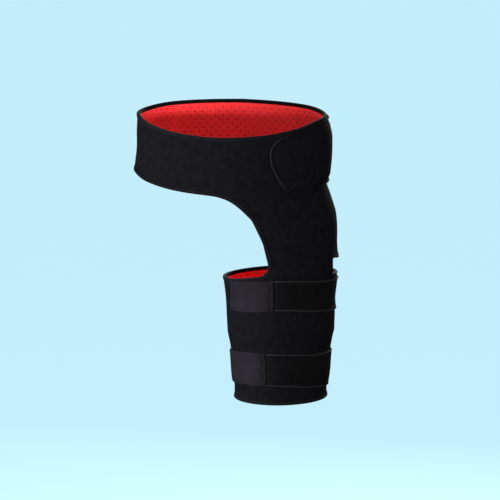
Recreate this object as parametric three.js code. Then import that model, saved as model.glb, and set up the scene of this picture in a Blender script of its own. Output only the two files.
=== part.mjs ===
// Hip compression brace: a neoprene waist band, a hip panel and a thigh wrap cut from one sheet, with a
// perforated lining, bound edges, a closing flap and two thigh straps.
// Millimetres and degrees, +Z up, +X to the braced leg's outer side, -Y to the front. The origin is the
// middle of the waist band.

import * as THREE from 'three';

// The waist, measured outside the neoprene.
const WAIST_WIDTH = 305;
const WAIST_DEPTH = 245;
const BAND_HEIGHT = 88;
const RIM_LOW_HEIGHT = 28.5;
const RIM_RISE = 34;
const RIM_LOW_TURN = -77;

// The thigh wrap, measured outside at its upper rim.
const THIGH_WIDTH = 176;
const THIGH_DEPTH = 196;
const THIGH_OUT = 88;
const THIGH_FORWARD = 6;
const HIP_DROP = 192;
const WRAP_HEIGHT = 193;
const THIGH_RIM_TILT = 4;
const THIGH_LOW_TURN = 155;

// The opening between the band and the thigh wrap ends at these turns, with the hip panel between them.
// Each end bulges into the panel by its own degrees.
const FRONT_JOIN_TURN = -65;
const REAR_JOIN_TURN = 1;
const FRONT_END_BULGE = 1.5;
const REAR_END_BULGE = 2;

// Thicknesses and clearances. GAP lies between sewn pieces, LINING_GAP between the sheet's two layers and
// REST_GAP under what lies on the sheet.
const NEOPRENE = 3;
const LINING = 0.8;
const TAPE = 1;
const TAPE_LIP = 4.5;
const TAPE_GAP = 0.8;
const WEBBING = 2.2;
const TAB_THICK = 1.8;
const FOLD_THICK = 1;
const FLAP_THICK = 4;
const PATCH_THICK = 0.7;
const GAP = 0.3;
const LINING_GAP = 0.5;
const REST_GAP = 0.9;

// The closing flap.
const FLAP_HEIGHT = 96;
const FLAP_BELOW_RIM = 4.5;
const FLAP_TIP_TURN = -45.7;
const FLAP_END_SPAN = 17;
const FLAP_SHOULDER = 1.5;
const FLAP_ROOT_TURN = 75;
const FLAP_BULGE = 4;
const PIPING = 3;
const PIPING_PROUD = 0.5;
const PIPING_GAP = 0.5;
const PATCH_TIP_TURN = -40;
const PATCH_ROOT_TURN = -18;
const PATCH_ROWS = [0.2, 0.32, 0.44, 0.56, 0.68];

// The thigh straps and their tabs.
const UPPER_STRAP_WIDTH = 49;
const UPPER_STRAP_BELOW_RIM = 2;
const LOWER_STRAP_WIDTH = 53;
const LOWER_STRAP_BELOW_RIM = 114;
const LOWER_STRAP_TILT = 2.5;
const STRAP_ROOT_TURN = 62;
const UPPER_SEAM_TURN = -70;
const UPPER_TAB_TURN = -123;
const LOWER_SEAM_TURN = -80;
const LOWER_TAB_TURN = -141;
const FOLD_LENGTH = 8;
const TAB_CORNER = 9;
const TAB_ROWS = [0, 0.04, 0.12, 0.5, 0.88, 0.96, 1];

// Heights of the mesh rows. An edge row lies just inside the tape's lip.
const EDGE_ROW = TAPE_LIP + 1.5;
const STEEPEST_EDGE = 2.5;
const UPPER_ROWS = 9;
const LOWER_ROWS = 8;
const JOINED_COLUMNS = 7;
const PLAIN_COLUMNS = 9;

// Least degrees between two columns of a piece laid on the sheet, and the steps that its slope is
// measured over.
const LEAST_TURN = 1.2;
const SLOPE_TURN = 0.5;
const SLOPE_HEIGHT = 1;

// The body's sections from the waist to the thigh's rim. down: share of HIP_DROP below the origin,
// leg: share of the way from the waist's section to the thigh's, wide and deep: swell of that section.
const HIP_SECTIONS = [
  { down: -0.38, leg: 0, wide: 1, deep: 1 },
  { down: -0.24, leg: 0, wide: 1, deep: 1 },
  { down: -0.1, leg: 0, wide: 1.01, deep: 1 },
  { down: 0, leg: 0, wide: 1.011, deep: 1 },
  { down: 0.13, leg: -0.02, wide: 1.008, deep: 1 },
  { down: 0.235, leg: -0.04, wide: 1.003, deep: 1 },
  { down: 0.355, leg: 0.06, wide: 1.044, deep: 1 },
  { down: 0.43, leg: 0.16, wide: 1.068, deep: 1.01 },
  { down: 0.5, leg: 0.27, wide: 1.081, deep: 1.02 },
  { down: 0.595, leg: 0.42, wide: 1.08, deep: 1.03 },
  { down: 0.775, leg: 0.75, wide: 1.033, deep: 1.02 },
  { down: 0.89, leg: 0.93, wide: 1.016, deep: 1.01 },
  { down: 1, leg: 1, wide: 1, deep: 1 },
];

// The thigh wrap's taper. down: share of WRAP_HEIGHT below the rim, size: share of the rim's section.
const WRAP_SECTIONS = [
  { down: 0.2, size: 0.954 },
  { down: 0.425, size: 0.93 },
  { down: 0.62, size: 0.864 },
  { down: 0.79, size: 0.838 },
  { down: 0.945, size: 0.8 },
  { down: 1.03, size: 0.815 },
];

// The waist rim. away: degrees either way from its lowest point, rise: share of RIM_RISE.
const WAIST_RIM = [
  { away: 0, rise: 0 },
  { away: 25, rise: 0.13 },
  { away: 50, rise: 0.37 },
  { away: 75, rise: 0.66 },
  { away: 105, rise: 0.79 },
  { away: 135, rise: 0.93 },
  { away: 180, rise: 1 },
];

// The opening's two ends. away: degrees from the join, over: how far the panel hangs below the band's
// lower edge, under: how far it stands above the thigh's rim, both as shares of the height between them.
const FRONT_CURVE = [
  { away: 0, over: 0.263, under: 0.423 },
  { away: 3.5, over: 0.14, under: 0.257 },
  { away: 6.7, over: 0.074, under: 0.157 },
  { away: 10, over: 0.035, under: 0.107 },
  { away: 15, over: 0.008, under: 0.067 },
  { away: 22, over: 0, under: 0.045 },
  { away: 32, over: 0, under: 0.032 },
  { away: 45, over: 0, under: 0.015 },
];
const REAR_CURVE = [
  { away: 0, over: 0.872, under: 0.034 },
  { away: 3.5, over: 0.862, under: 0.006 },
  { away: 11, over: 0.86, under: 0 },
  { away: 22, over: 0.857, under: 0 },
  { away: 34, over: 0.853, under: 0 },
  { away: 46, over: 0.848, under: 0 },
  { away: 57, over: 0.84, under: 0 },
  { away: 67, over: 0.82, under: 0 },
  { away: 74, over: 0.785, under: 0 },
  { away: 79, over: 0.73, under: 0 },
  { away: 84, over: 0.64, under: 0 },
  { away: 89, over: 0.53, under: 0 },
  { away: 95, over: 0.39, under: 0 },
  { away: 101, over: 0.27, under: 0 },
  { away: 107, over: 0.17, under: 0 },
  { away: 113, over: 0.09, under: 0 },
  { away: 122, over: 0.03, under: 0 },
  { away: 133, over: 0, under: 0 },
];

// The flap's rounded end. down: share of its height, back: share of FLAP_END_SPAN behind its tip.
const FLAP_END = [
  { down: 0, back: 1 },
  { down: 0.025, back: 0.62 },
  { down: 0.06, back: 0.34 },
  { down: 0.11, back: 0.15 },
  { down: 0.19, back: 0.03 },
  { down: 0.3, back: 0 },
  { down: 0.42, back: 0.04 },
  { down: 0.55, back: 0.17 },
  { down: 0.69, back: 0.36 },
  { down: 0.81, back: 0.55 },
  { down: 0.9, back: 0.72 },
  { down: 0.965, back: 0.9 },
  { down: 0.99, back: 1.05 },
  { down: 1, back: 1.25 },
];

// How far the flap stands off, as a share of FLAP_BULGE: by height, and by the way from tip to root.
const FLAP_STAND_DOWN = [
  { at: 0, stand: 0 },
  { at: 0.12, stand: 0.3 },
  { at: 0.3, stand: 0.8 },
  { at: 0.6, stand: 0.8 },
  { at: 0.85, stand: 0.9 },
  { at: 1, stand: 1.2 },
];
const FLAP_STAND_BACK = [
  { at: 0, stand: 0.1 },
  { at: 0.15, stand: 0.75 },
  { at: 0.35, stand: 1 },
  { at: 0.75, stand: 0.9 },
  { at: 1, stand: 0 },
];

const BAND_BLACK = 0x202024;
const LINING_RED = 0xe0302f;
const TAPE_BLACK = 0x121418;
const STRAP_BLACK = 0x161618;
const TAB_GREY = 0x2e2d31;

const radians = THREE.MathUtils.degToRad;
const mix = THREE.MathUtils.lerp;

// A smooth curve through a table's rows that never swings past them.
function curve(rows, from, to) {
  const slopes = rows.slice(1).map((row, i) => (row[to] - rows[i][to]) / (row[from] - rows[i][from]));
  const bends = rows.map((row, i) => {
    const before = slopes[i - 1];
    const after = slopes[i];
    if (i === 0) return after;
    if (i === rows.length - 1) return before;
    return before * after <= 0 ? 0 : (2 * before * after) / (before + after);
  });
  return (at) => {
    const held = THREE.MathUtils.clamp(at, rows[0][from], rows[rows.length - 1][from]);
    let i = 0;
    while (i < rows.length - 2 && held > rows[i + 1][from]) i += 1;
    const span = rows[i + 1][from] - rows[i][from];
    const t = (held - rows[i][from]) / span;
    const rise = t * t * (3 - 2 * t);
    const start = t * (1 - t) * (1 - t) * span * bends[i];
    const end = t * t * (t - 1) * span * bends[i + 1];
    return mix(rows[i][to], rows[i + 1][to], rise) + start + end;
  };
}

// The body's form, by depth below the origin.
const stations = [
  ...HIP_SECTIONS.map((row) => (
    { depth: row.down * HIP_DROP, leg: row.leg, wide: row.wide, deep: row.deep })),
  ...WRAP_SECTIONS.map((row) => (
    { depth: HIP_DROP + row.down * WRAP_HEIGHT, leg: 1, wide: row.size, deep: row.size })),
];
const legAt = curve(stations, 'depth', 'leg');
const wideAt = curve(stations, 'depth', 'wide');
const deepAt = curve(stations, 'depth', 'deep');

function onForm(turn, height) {
  const leg = legAt(-height);
  const halfWidth = (mix(WAIST_WIDTH, THIGH_WIDTH, leg) / 2) * wideAt(-height);
  const halfDepth = (mix(WAIST_DEPTH, THIGH_DEPTH, leg) / 2) * deepAt(-height);
  const angle = radians(turn);
  return new THREE.Vector3(
    THIGH_OUT * leg + halfWidth * Math.cos(angle),
    -THIGH_FORWARD * leg + halfDepth * Math.sin(angle),
    height);
}

function outwardAt(turn, height) {
  const around = onForm(turn + SLOPE_TURN, height).sub(onForm(turn - SLOPE_TURN, height));
  const down = onForm(turn, height - SLOPE_HEIGHT).sub(onForm(turn, height + SLOPE_HEIGHT));
  return down.cross(around).normalize();
}

// A point that stands off the neoprene's outer face, or lies within it where stand is negative.
function place(turn, height, stand) {
  return onForm(turn, height).addScaledVector(outwardAt(turn, height), stand);
}

// Edges of the sheet, as heights at a turn.
const rimRise = curve(WAIST_RIM, 'away', 'rise');

function rimHeight(turn) {
  const away = Math.abs(THREE.MathUtils.euclideanModulo(turn - RIM_LOW_TURN + 180, 360) - 180);
  return RIM_LOW_HEIGHT + RIM_RISE * rimRise(away);
}

function thighRimHeight(turn) {
  return -HIP_DROP - THIGH_RIM_TILT * Math.cos(radians(turn - THIGH_LOW_TURN));
}

function hemHeight() {
  return -HIP_DROP - WRAP_HEIGHT;
}

// A column of the sheet runs from the waist rim to the hem. Its panel edge and wrap edge are the two
// sides of the opening, with one point between them where the hip panel joins the band to the wrap.
function column(turn, over, under, bulge = 0) {
  const band = rimHeight(turn) - BAND_HEIGHT;
  const foot = thighRimHeight(turn);
  const panel = mix(band, foot, over);
  const wrap = mix(foot, band, under);
  const middle = { turn: turn + bulge, height: (panel + wrap) / 2 };
  return { turn, rim: rimHeight(turn), panel, middle, wrap, hem: hemHeight() };
}

// How much longer a length square to a sloping edge is when it is taken straight down, up to a limit.
function slopeFactor(before, after, edge) {
  const run = onForm(before.turn, before[edge]).sub(onForm(after.turn, after[edge]));
  const across = Math.hypot(run.x, run.y);
  return Math.min(STEEPEST_EDGE, run.length() / across);
}

function sheetColumns() {
  const bulgeOf = (row, bulge) => (row.away === 0 ? bulge : 0);
  const front = FRONT_CURVE.map((row) => column(
    FRONT_JOIN_TURN - row.away, row.over, row.under, bulgeOf(row, FRONT_END_BULGE)));
  const rear = REAR_CURVE.map((row) => column(
    REAR_JOIN_TURN - 360 + row.away, row.over, row.under, bulgeOf(row, -REAR_END_BULGE))).reverse();
  const from = front[front.length - 1].turn;
  const to = rear[0].turn;
  const plain = [];
  for (let i = 1; i <= PLAIN_COLUMNS; i += 1) {
    plain.push(column(mix(from, to, i / (PLAIN_COLUMNS + 1)), 0, 0));
  }
  const joined = [];
  for (let i = 1; i <= JOINED_COLUMNS; i += 1) {
    const t = i / (JOINED_COLUMNS + 1);
    const eased = t * t * (3 - 2 * t);
    joined.push(column(
      mix(REAR_JOIN_TURN - 360, FRONT_JOIN_TURN - 360, t),
      mix(REAR_CURVE[0].over, FRONT_CURVE[0].over, eased),
      mix(REAR_CURVE[0].under, FRONT_CURVE[0].under, eased)));
  }
  const open = [...front, ...plain, ...rear];
  open.forEach((col, i) => {
    const before = open[Math.max(i - 1, 0)];
    const after = open[Math.min(i + 1, open.length - 1)];
    col.panelEdgeRow = EDGE_ROW * slopeFactor(before, after, 'panel');
    col.wrapEdgeRow = EDGE_ROW * slopeFactor(before, after, 'wrap');
  });
  return { all: [...open, ...joined], open: open.length };
}

const { all: COLUMNS, open: OPEN_COLUMNS } = sheetColumns();

// Heights down one part of a column, with a row just inside the tape at each bound edge. first and last
// are those rows' distances from the edges, or 0 at an edge without tape.
function rowHeights(top, bottom, rows, first, final) {
  const inside = first || (top - bottom) / rows;
  const last = final || (top - bottom) / rows;
  const heights = [top];
  for (let i = 0; i <= rows - 2; i += 1) heights.push(mix(top - inside, bottom + last, i / (rows - 2)));
  heights.push(bottom);
  return heights;
}

// Gathers triangles into a closed body whose faces point out.
class Body {
  constructor() {
    this.points = [];
    this.faces = [];
  }

  add(point) {
    this.points.push(point);
    return this.points.length - 1;
  }

  quad(a, b, c, d) {
    this.faces.push([a, b, c], [a, c, d]);
  }

  // Splits a quad across its more level diagonal, so that every layer of the sheet folds alike.
  levelQuad(a, b, c, d, [heightA, heightB, heightC, heightD]) {
    if (Math.abs(heightA - heightC) <= Math.abs(heightB - heightD)) this.quad(a, b, c, d);
    else this.quad(b, c, d, a);
  }

  geometry() {
    const [origin] = this.points;
    const volume = this.faces.reduce((sum, [a, b, c]) => {
      const [p, q, r] = [a, b, c].map((i) => this.points[i].clone().sub(origin));
      return sum + p.dot(q.cross(r));
    }, 0);
    const faces = volume < 0 ? this.faces.map(([a, b, c]) => [a, c, b]) : this.faces;
    const geometry = new THREE.BufferGeometry().setFromPoints(this.points);
    geometry.setIndex(faces.flat());
    geometry.computeVertexNormals();
    return geometry;
  }
}

// The whole cut sheet between two stands: band, hip panel and thigh wrap in one body.
function sheetBody(outside, inside) {
  const body = new Body();
  const count = COLUMNS.length;
  const heights = COLUMNS.map((col, c) => {
    const open = c < OPEN_COLUMNS;
    const upper = rowHeights(col.rim, col.panel, UPPER_ROWS, EDGE_ROW, open ? col.panelEdgeRow : 0);
    const lower = rowHeights(col.wrap, col.hem, LOWER_ROWS, open ? col.wrapEdgeRow : 0, EDGE_ROW);
    return { upper, middle: [col.panel, col.middle.height, col.wrap], lower };
  });
  const [outer, inner] = [outside, inside].map((stand) => COLUMNS.map((col, c) => {
    const [upper, lower] = [heights[c].upper, heights[c].lower].map(
      (part) => part.map((height) => body.add(place(col.turn, height, stand))));
    if (c > 0 && c < OPEN_COLUMNS - 1) return { upper, lower };
    const middle = body.add(place(col.middle.turn, col.middle.height, stand));
    return { upper, middle: [upper[UPPER_ROWS], middle, lower[0]], lower };
  }));
  for (let i = 0; i < count; i += 1) {
    const next = (i + 1) % count;
    const joined = i >= OPEN_COLUMNS - 1;
    for (const part of joined ? ['upper', 'middle', 'lower'] : ['upper', 'lower']) {
      for (let r = 0; r < outer[i][part].length - 1; r += 1) {
        const corners = [[i, r], [next, r], [next, r + 1], [i, r + 1]];
        const [a, b, c, d] = corners.map(([col, row]) => outer[col][part][row]);
        const [p, q, s, t] = corners.map(([col, row]) => inner[col][part][row]);
        const [hA, hB, hC, hD] = corners.map(([col, row]) => heights[col][part][row]);
        body.levelQuad(a, b, c, d, [hA, hB, hC, hD]);
        body.levelQuad(p, t, s, q, [hA, hD, hC, hB]);
      }
    }
    const wallAbove = (part, row) => body.quad(
      outer[i][part][row], inner[i][part][row], inner[next][part][row], outer[next][part][row]);
    const wallBelow = (part, row) => body.quad(
      outer[i][part][row], outer[next][part][row], inner[next][part][row], inner[i][part][row]);
    wallAbove('upper', 0);
    wallBelow('lower', LOWER_ROWS);
    if (!joined) {
      wallBelow('upper', UPPER_ROWS);
      wallAbove('lower', 0);
    }
  }
  const [frontOuter, frontInner] = [outer[0].middle, inner[0].middle];
  const [rearOuter, rearInner] = [outer[OPEN_COLUMNS - 1].middle, inner[OPEN_COLUMNS - 1].middle];
  for (let r = 0; r < 2; r += 1) {
    body.quad(frontOuter[r], frontInner[r], frontInner[r + 1], frontOuter[r + 1]);
    body.quad(rearOuter[r], rearOuter[r + 1], rearInner[r + 1], rearInner[r]);
  }
  return body.geometry();
}

// Carries a closed section along an edge. Each section point has out, off the sheet's face, and past,
// beyond its edge.
function sweep(edge, section, closed) {
  const body = new Body();
  const count = edge.length;
  const rings = edge.map(({ turn, height, stand = 0 }, i) => {
    const before = edge[closed ? (i + count - 1) % count : Math.max(i - 1, 0)];
    const after = edge[closed ? (i + 1) % count : Math.min(i + 1, count - 1)];
    const start = place(before.turn, before.height, before.stand ?? 0);
    const way = place(after.turn, after.height, after.stand ?? 0).sub(start).normalize();
    const out = outwardAt(turn, height);
    const past = way.cross(out).normalize();
    const centre = place(turn, height, stand);
    return section.map((point) => body.add(
      centre.clone().addScaledVector(out, point.out).addScaledVector(past, point.past)));
  });
  const sides = section.length;
  for (let i = 0; i < (closed ? count : count - 1); i += 1) {
    const next = (i + 1) % count;
    for (let s = 0; s < sides; s += 1) {
      const t = (s + 1) % sides;
      body.quad(rings[i][s], rings[next][s], rings[next][t], rings[i][t]);
    }
  }
  if (!closed) {
    const outline = section.map((point) => new THREE.Vector2(point.out, point.past));
    for (const triangle of THREE.ShapeUtils.triangulateShape(outline, [])) {
      const [p, q, r] = triangle.sort((one, other) => one - other);
      body.faces.push([rings[0][p], rings[0][q], rings[0][r]]);
      body.faces.push([rings[count - 1][p], rings[count - 1][r], rings[count - 1][q]]);
    }
  }
  return body.geometry();
}

// The folded tape's section, a channel over the neoprene and the lining.
function tapeSection() {
  const face = TAPE_GAP;
  const back = -NEOPRENE - LINING_GAP - LINING - TAPE_GAP;
  const edge = GAP;
  return [
    { out: face + TAPE, past: -TAPE_LIP },
    { out: face + TAPE, past: edge + TAPE },
    { out: back - TAPE, past: edge + TAPE },
    { out: back - TAPE, past: -TAPE_LIP },
    { out: back, past: -TAPE_LIP },
    { out: back, past: edge },
    { out: face, past: edge },
    { out: face, past: -TAPE_LIP },
  ];
}

function waistBinding() {
  return sweep(COLUMNS.map((col) => ({ turn: col.turn, height: col.rim })), tapeSection(), true);
}

function hemBinding() {
  const edge = COLUMNS.map((col) => ({ turn: col.turn, height: col.hem })).reverse();
  return sweep(edge, tapeSection(), true);
}

function openingBinding() {
  const open = COLUMNS.slice(0, OPEN_COLUMNS);
  const wrapEdge = open.map((col) => ({ turn: col.turn, height: col.wrap }));
  const panelEdge = open.map((col) => ({ turn: col.turn, height: col.panel })).reverse();
  const [front, rear] = [open[0].middle, open[OPEN_COLUMNS - 1].middle];
  return sweep([...wrapEdge, rear, ...panelEdge, front], tapeSection(), true);
}

// A piece of cloth laid over the form: nodes[row][column] give turn, height, and its inner and outer stand.
function layer(nodes) {
  const body = new Body();
  const faces = ['outer', 'inner'].map((side) => nodes.map((row) => row.map(
    (node) => body.add(place(node.turn, node.height, node[side])))));
  const rows = nodes.length - 1;
  const columns = nodes[0].length - 1;
  const [outer, inner] = faces;
  for (let r = 0; r < rows; r += 1) {
    for (let c = 0; c < columns; c += 1) {
      body.quad(outer[r][c], outer[r + 1][c], outer[r + 1][c + 1], outer[r][c + 1]);
      body.quad(inner[r][c], inner[r][c + 1], inner[r + 1][c + 1], inner[r + 1][c]);
    }
    body.quad(outer[r][0], inner[r][0], inner[r + 1][0], outer[r + 1][0]);
    body.quad(outer[r + 1][columns], inner[r + 1][columns], inner[r][columns], outer[r][columns]);
  }
  for (let c = 0; c < columns; c += 1) {
    body.quad(outer[0][c + 1], inner[0][c + 1], inner[0][c], outer[0][c]);
    body.quad(outer[rows][c], inner[rows][c], inner[rows][c + 1], outer[rows][c + 1]);
  }
  return body.geometry();
}

// The flap lies over the waist tape and stands off the band.
const OVER_TAPE = TAPE_GAP + TAPE + LINING_GAP;
const FLAP_END_STEPS = [0, 0.35, 0.7, 1];
const FLAP_SHOULDER_TURN = FLAP_TIP_TURN + FLAP_SHOULDER * FLAP_END_SPAN;
const flapStandDown = curve(FLAP_STAND_DOWN, 'at', 'stand');
const flapStandBack = curve(FLAP_STAND_BACK, 'at', 'stand');

function flapNode(down, turn) {
  const fromTip = (turn - FLAP_TIP_TURN) / (FLAP_ROOT_TURN - FLAP_TIP_TURN);
  const height = rimHeight(turn) - FLAP_BELOW_RIM - down * FLAP_HEIGHT;
  const inner = OVER_TAPE + FLAP_BULGE * flapStandDown(down) * flapStandBack(fromTip);
  return { turn, height, inner, outer: inner + FLAP_THICK };
}

// The flap's turns at one height, from its end to its root. Past the rounded end they are the sheet's.
function flapTurns(row) {
  const tip = FLAP_TIP_TURN + row.back * FLAP_END_SPAN;
  const rounded = FLAP_END_STEPS.map((step) => mix(tip, FLAP_SHOULDER_TURN, step));
  const straight = sheetTurns(FLAP_ROOT_TURN, FLAP_SHOULDER_TURN).reverse().slice(1);
  return [...rounded, ...straight];
}

function waistFlap() {
  return layer(FLAP_END.map((row) => flapTurns(row).map((turn) => flapNode(row.down, turn))));
}

// Piping along the flap's free edges: its top, its rounded end and its lower edge.
function flapPiping() {
  const first = FLAP_END[0];
  const last = FLAP_END[FLAP_END.length - 1];
  const edge = [
    ...flapTurns(first).slice(1).reverse().map((turn) => flapNode(first.down, turn)),
    ...FLAP_END.map((row) => flapNode(row.down, flapTurns(row)[0])),
    ...flapTurns(last).slice(1).map((turn) => flapNode(last.down, turn)),
  ].map((node) => ({ turn: node.turn, height: node.height, stand: node.inner }));
  const section = [
    { out: 0, past: PIPING_GAP },
    { out: FLAP_THICK, past: PIPING_GAP },
    { out: FLAP_THICK + PIPING_PROUD, past: PIPING_GAP + PIPING * 0.5 },
    { out: FLAP_THICK, past: PIPING_GAP + PIPING },
    { out: 0, past: PIPING_GAP + PIPING },
  ];
  return sweep(edge, section, false);
}

// The hook patch that holds the flap's end to the band.
function hookPatch() {
  const turns = sheetTurns(PATCH_ROOT_TURN, PATCH_TIP_TURN);
  return layer(PATCH_ROWS.map((down) => turns.map((turn) => (
    { turn, height: flapNode(down, turn).height, inner: REST_GAP, outer: REST_GAP + PATCH_THICK }))));
}

// A strap or tab between two turns. top gives its upper edge's height at a turn.
function strapTop(belowRim, tilt) {
  return (turn) => thighRimHeight(turn) - belowRim - tilt * Math.cos(radians(turn));
}

function strapGrid(steps, top, width, nodeAt) {
  return [0, 0.5, 1].map((down) => steps.map((step) => (
    { height: top(step.turn) - down * width, ...nodeAt(step), turn: step.turn })));
}

// The turns of the sheet's columns between two turns, with both ends, so that what lies on the sheet
// bends where it does.
function sheetTurns(from, to) {
  const between = COLUMNS.flatMap((col) => [col.turn, col.turn + 360])
    .filter((turn) => turn < from - LEAST_TURN && turn > to + LEAST_TURN)
    .sort((one, other) => other - one);
  return [from, ...between, to];
}

// Degrees taken by a length round the thigh.
function thighDegrees(length) {
  return THREE.MathUtils.radToDeg(length / ((THIGH_WIDTH + THIGH_DEPTH) / 4));
}

function strap(top, width, stand, seamTurn) {
  const fold = thighDegrees(FOLD_LENGTH);
  const ramp = thighDegrees(FOLD_THICK);
  const steps = [
    ...sheetTurns(STRAP_ROOT_TURN, seamTurn + fold + ramp).map((turn) => ({ turn, extra: 0 })),
    { turn: seamTurn + fold, extra: FOLD_THICK },
    { turn: seamTurn, extra: FOLD_THICK },
  ];
  return layer(strapGrid(steps, top, width, (step) => (
    { inner: stand, outer: stand + WEBBING + step.extra })));
}

// The tab continues the strap past its seam and ends in two rounded corners.
function tab(top, width, stand, seamTurn, tipTurn) {
  const corner = thighDegrees(TAB_CORNER);
  const gap = thighDegrees(GAP);
  const cut = (down) => {
    const fromEdge = Math.min(down, 1 - down) * width;
    const inside = Math.max(0, TAB_CORNER - fromEdge) / TAB_CORNER;
    return corner * (1 - Math.sqrt(Math.max(0, 1 - inside * inside)));
  };
  const inside = sheetTurns(seamTurn - gap, tipTurn + corner).slice(0, -1);
  return layer(TAB_ROWS.map((down) => [...inside, tipTurn + cut(down)].map((turn) => (
    { turn, height: top(turn) - down * width, inner: stand, outer: stand + TAB_THICK }))));
}

const upperTop = strapTop(UPPER_STRAP_BELOW_RIM, 0);
const lowerTop = strapTop(LOWER_STRAP_BELOW_RIM, LOWER_STRAP_TILT);

const finishes = {
  neoprene: new THREE.MeshStandardMaterial({ color: BAND_BLACK, roughness: 0.9, metalness: 0 }),
  lining: new THREE.MeshStandardMaterial({ color: LINING_RED, roughness: 0.8, metalness: 0 }),
  tape: new THREE.MeshStandardMaterial({ color: TAPE_BLACK, roughness: 0.85, metalness: 0 }),
  webbing: new THREE.MeshStandardMaterial({ color: STRAP_BLACK, roughness: 0.8, metalness: 0 }),
  tab: new THREE.MeshStandardMaterial({ color: TAB_GREY, roughness: 0.6, metalness: 0 }),
};

function piece(name, geometry, finish) {
  const mesh = new THREE.Mesh(geometry, finish);
  mesh.name = name;
  return mesh;
}

const brace = new THREE.Group();
brace.add(
  piece('neoprene_panel', sheetBody(0, -NEOPRENE), finishes.neoprene),
  piece('lining_panel', sheetBody(-NEOPRENE - LINING_GAP, -NEOPRENE - LINING_GAP - LINING), finishes.lining),
  piece('waist_binding', waistBinding(), finishes.tape),
  piece('opening_binding', openingBinding(), finishes.tape),
  piece('hem_binding', hemBinding(), finishes.tape),
  piece('waist_flap', waistFlap(), finishes.neoprene),
  piece('flap_piping', flapPiping(), finishes.tape),
  piece('flap_hook_patch', hookPatch(), finishes.tab),
  piece('upper_strap', strap(upperTop, UPPER_STRAP_WIDTH, OVER_TAPE, UPPER_SEAM_TURN), finishes.webbing),
  piece('upper_strap_tab',
    tab(upperTop, UPPER_STRAP_WIDTH, OVER_TAPE, UPPER_SEAM_TURN, UPPER_TAB_TURN), finishes.tab),
  piece('lower_strap', strap(lowerTop, LOWER_STRAP_WIDTH, REST_GAP, LOWER_SEAM_TURN), finishes.webbing),
  piece('lower_strap_tab',
    tab(lowerTop, LOWER_STRAP_WIDTH, REST_GAP, LOWER_SEAM_TURN, LOWER_TAB_TURN), finishes.tab),
);

export default brace;
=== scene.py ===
"""Hip compression brace: the finish of every surface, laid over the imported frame.

Each soft piece is cut flat and then laid on the body's form. In the flat, x runs round the body, y runs
up or across the piece, and z stands off the neoprene's outer face. Lengths are in metres. A turn is in
degrees round the body, from 0 at the outer side, and -90 is the wearer's front.
"""
import logging
import math
from dataclasses import dataclass
from enum import Enum
from typing import Callable, NamedTuple, Sequence

import bmesh
import bpy
import numpy as np
from mathutils import Matrix, Vector
from mathutils.kdtree import KDTree


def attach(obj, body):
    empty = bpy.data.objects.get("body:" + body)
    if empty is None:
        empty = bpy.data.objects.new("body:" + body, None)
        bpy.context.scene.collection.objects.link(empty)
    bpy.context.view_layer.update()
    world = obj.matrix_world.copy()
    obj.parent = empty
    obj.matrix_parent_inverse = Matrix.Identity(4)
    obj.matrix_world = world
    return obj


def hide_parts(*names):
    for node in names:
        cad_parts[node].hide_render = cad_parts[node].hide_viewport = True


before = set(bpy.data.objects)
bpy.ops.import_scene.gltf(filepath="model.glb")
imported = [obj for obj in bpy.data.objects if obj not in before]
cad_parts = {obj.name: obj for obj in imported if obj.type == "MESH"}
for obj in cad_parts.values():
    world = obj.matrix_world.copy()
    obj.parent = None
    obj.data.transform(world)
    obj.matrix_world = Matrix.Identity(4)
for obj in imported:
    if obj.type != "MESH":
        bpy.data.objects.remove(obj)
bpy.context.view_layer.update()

log = logging.getLogger("brace")

# A function of flat points, which gives their places, heights or shares.
Lay = Callable[[np.ndarray], np.ndarray]
MM = 0.001
CLOTH_UV = "cloth"
# The vertex layer of a painted highlight: a lighter tint laid along edges where light would catch them.
PAINTED_HIGHLIGHT = "painted_highlight"
HOLE = "hole"


class Row(NamedTuple):
    """A row of a curve's table: where it is, and the value there."""

    at: float
    value: float


class Curve:
    """A smooth curve through a table's rows that never swings past them."""

    def __init__(self, rows: Sequence[tuple[float, float]]) -> None:
        """Works out the slope at each row.

        Args:
            rows: Places and values, in rising order of place.
        """
        self.at, self.value = (np.array(column, dtype=float) for column in zip(*rows))
        slopes = np.diff(self.value) / np.diff(self.at)
        before, after = slopes[:-1], slopes[1:]
        turning = before * after <= 0
        total = np.where(turning, 1.0, before + after)
        inner = np.where(turning, 0.0, 2 * before * after / total)
        self.slopes = np.concatenate([slopes[:1], inner, slopes[-1:]])

    def __call__(self, at: np.ndarray | float) -> np.ndarray:
        """Gives the curve's values.

        Args:
            at: Places, which are held within the table's ends.

        Returns:
            The value at each place.
        """
        held = np.clip(at, self.at[0], self.at[-1])
        i = np.clip(np.searchsorted(self.at, held, side="left") - 1, 0, len(self.at) - 2)
        span = self.at[i + 1] - self.at[i]
        t = (held - self.at[i]) / span
        rise = t * t * (3 - 2 * t)
        start = t * (1 - t) ** 2 * span * self.slopes[i]
        end = t * t * (t - 1) * span * self.slopes[i + 1]
        return self.value[i] + (self.value[i + 1] - self.value[i]) * rise + start + end


class Section(NamedTuple):
    """A level of the body: its share of the hip's drop, of the way to the leg, and its swell."""

    down: float
    leg: float
    wide: float
    deep: float


class Taper(NamedTuple):
    """A level of the thigh wrap: its share of the wrap's height, and of the rim's size."""

    down: float
    size: float


class JoinRow(NamedTuple):
    """One step of an end of the opening, in degrees from the join and shares of the height there."""

    away: float
    over: float
    under: float


class Crease(NamedTuple):
    """A soft fold or swelling of the cloth: its place, half length, half width, slant and height."""

    turn: float
    height: float
    length: float
    width: float
    slant: float
    stand: float


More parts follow.
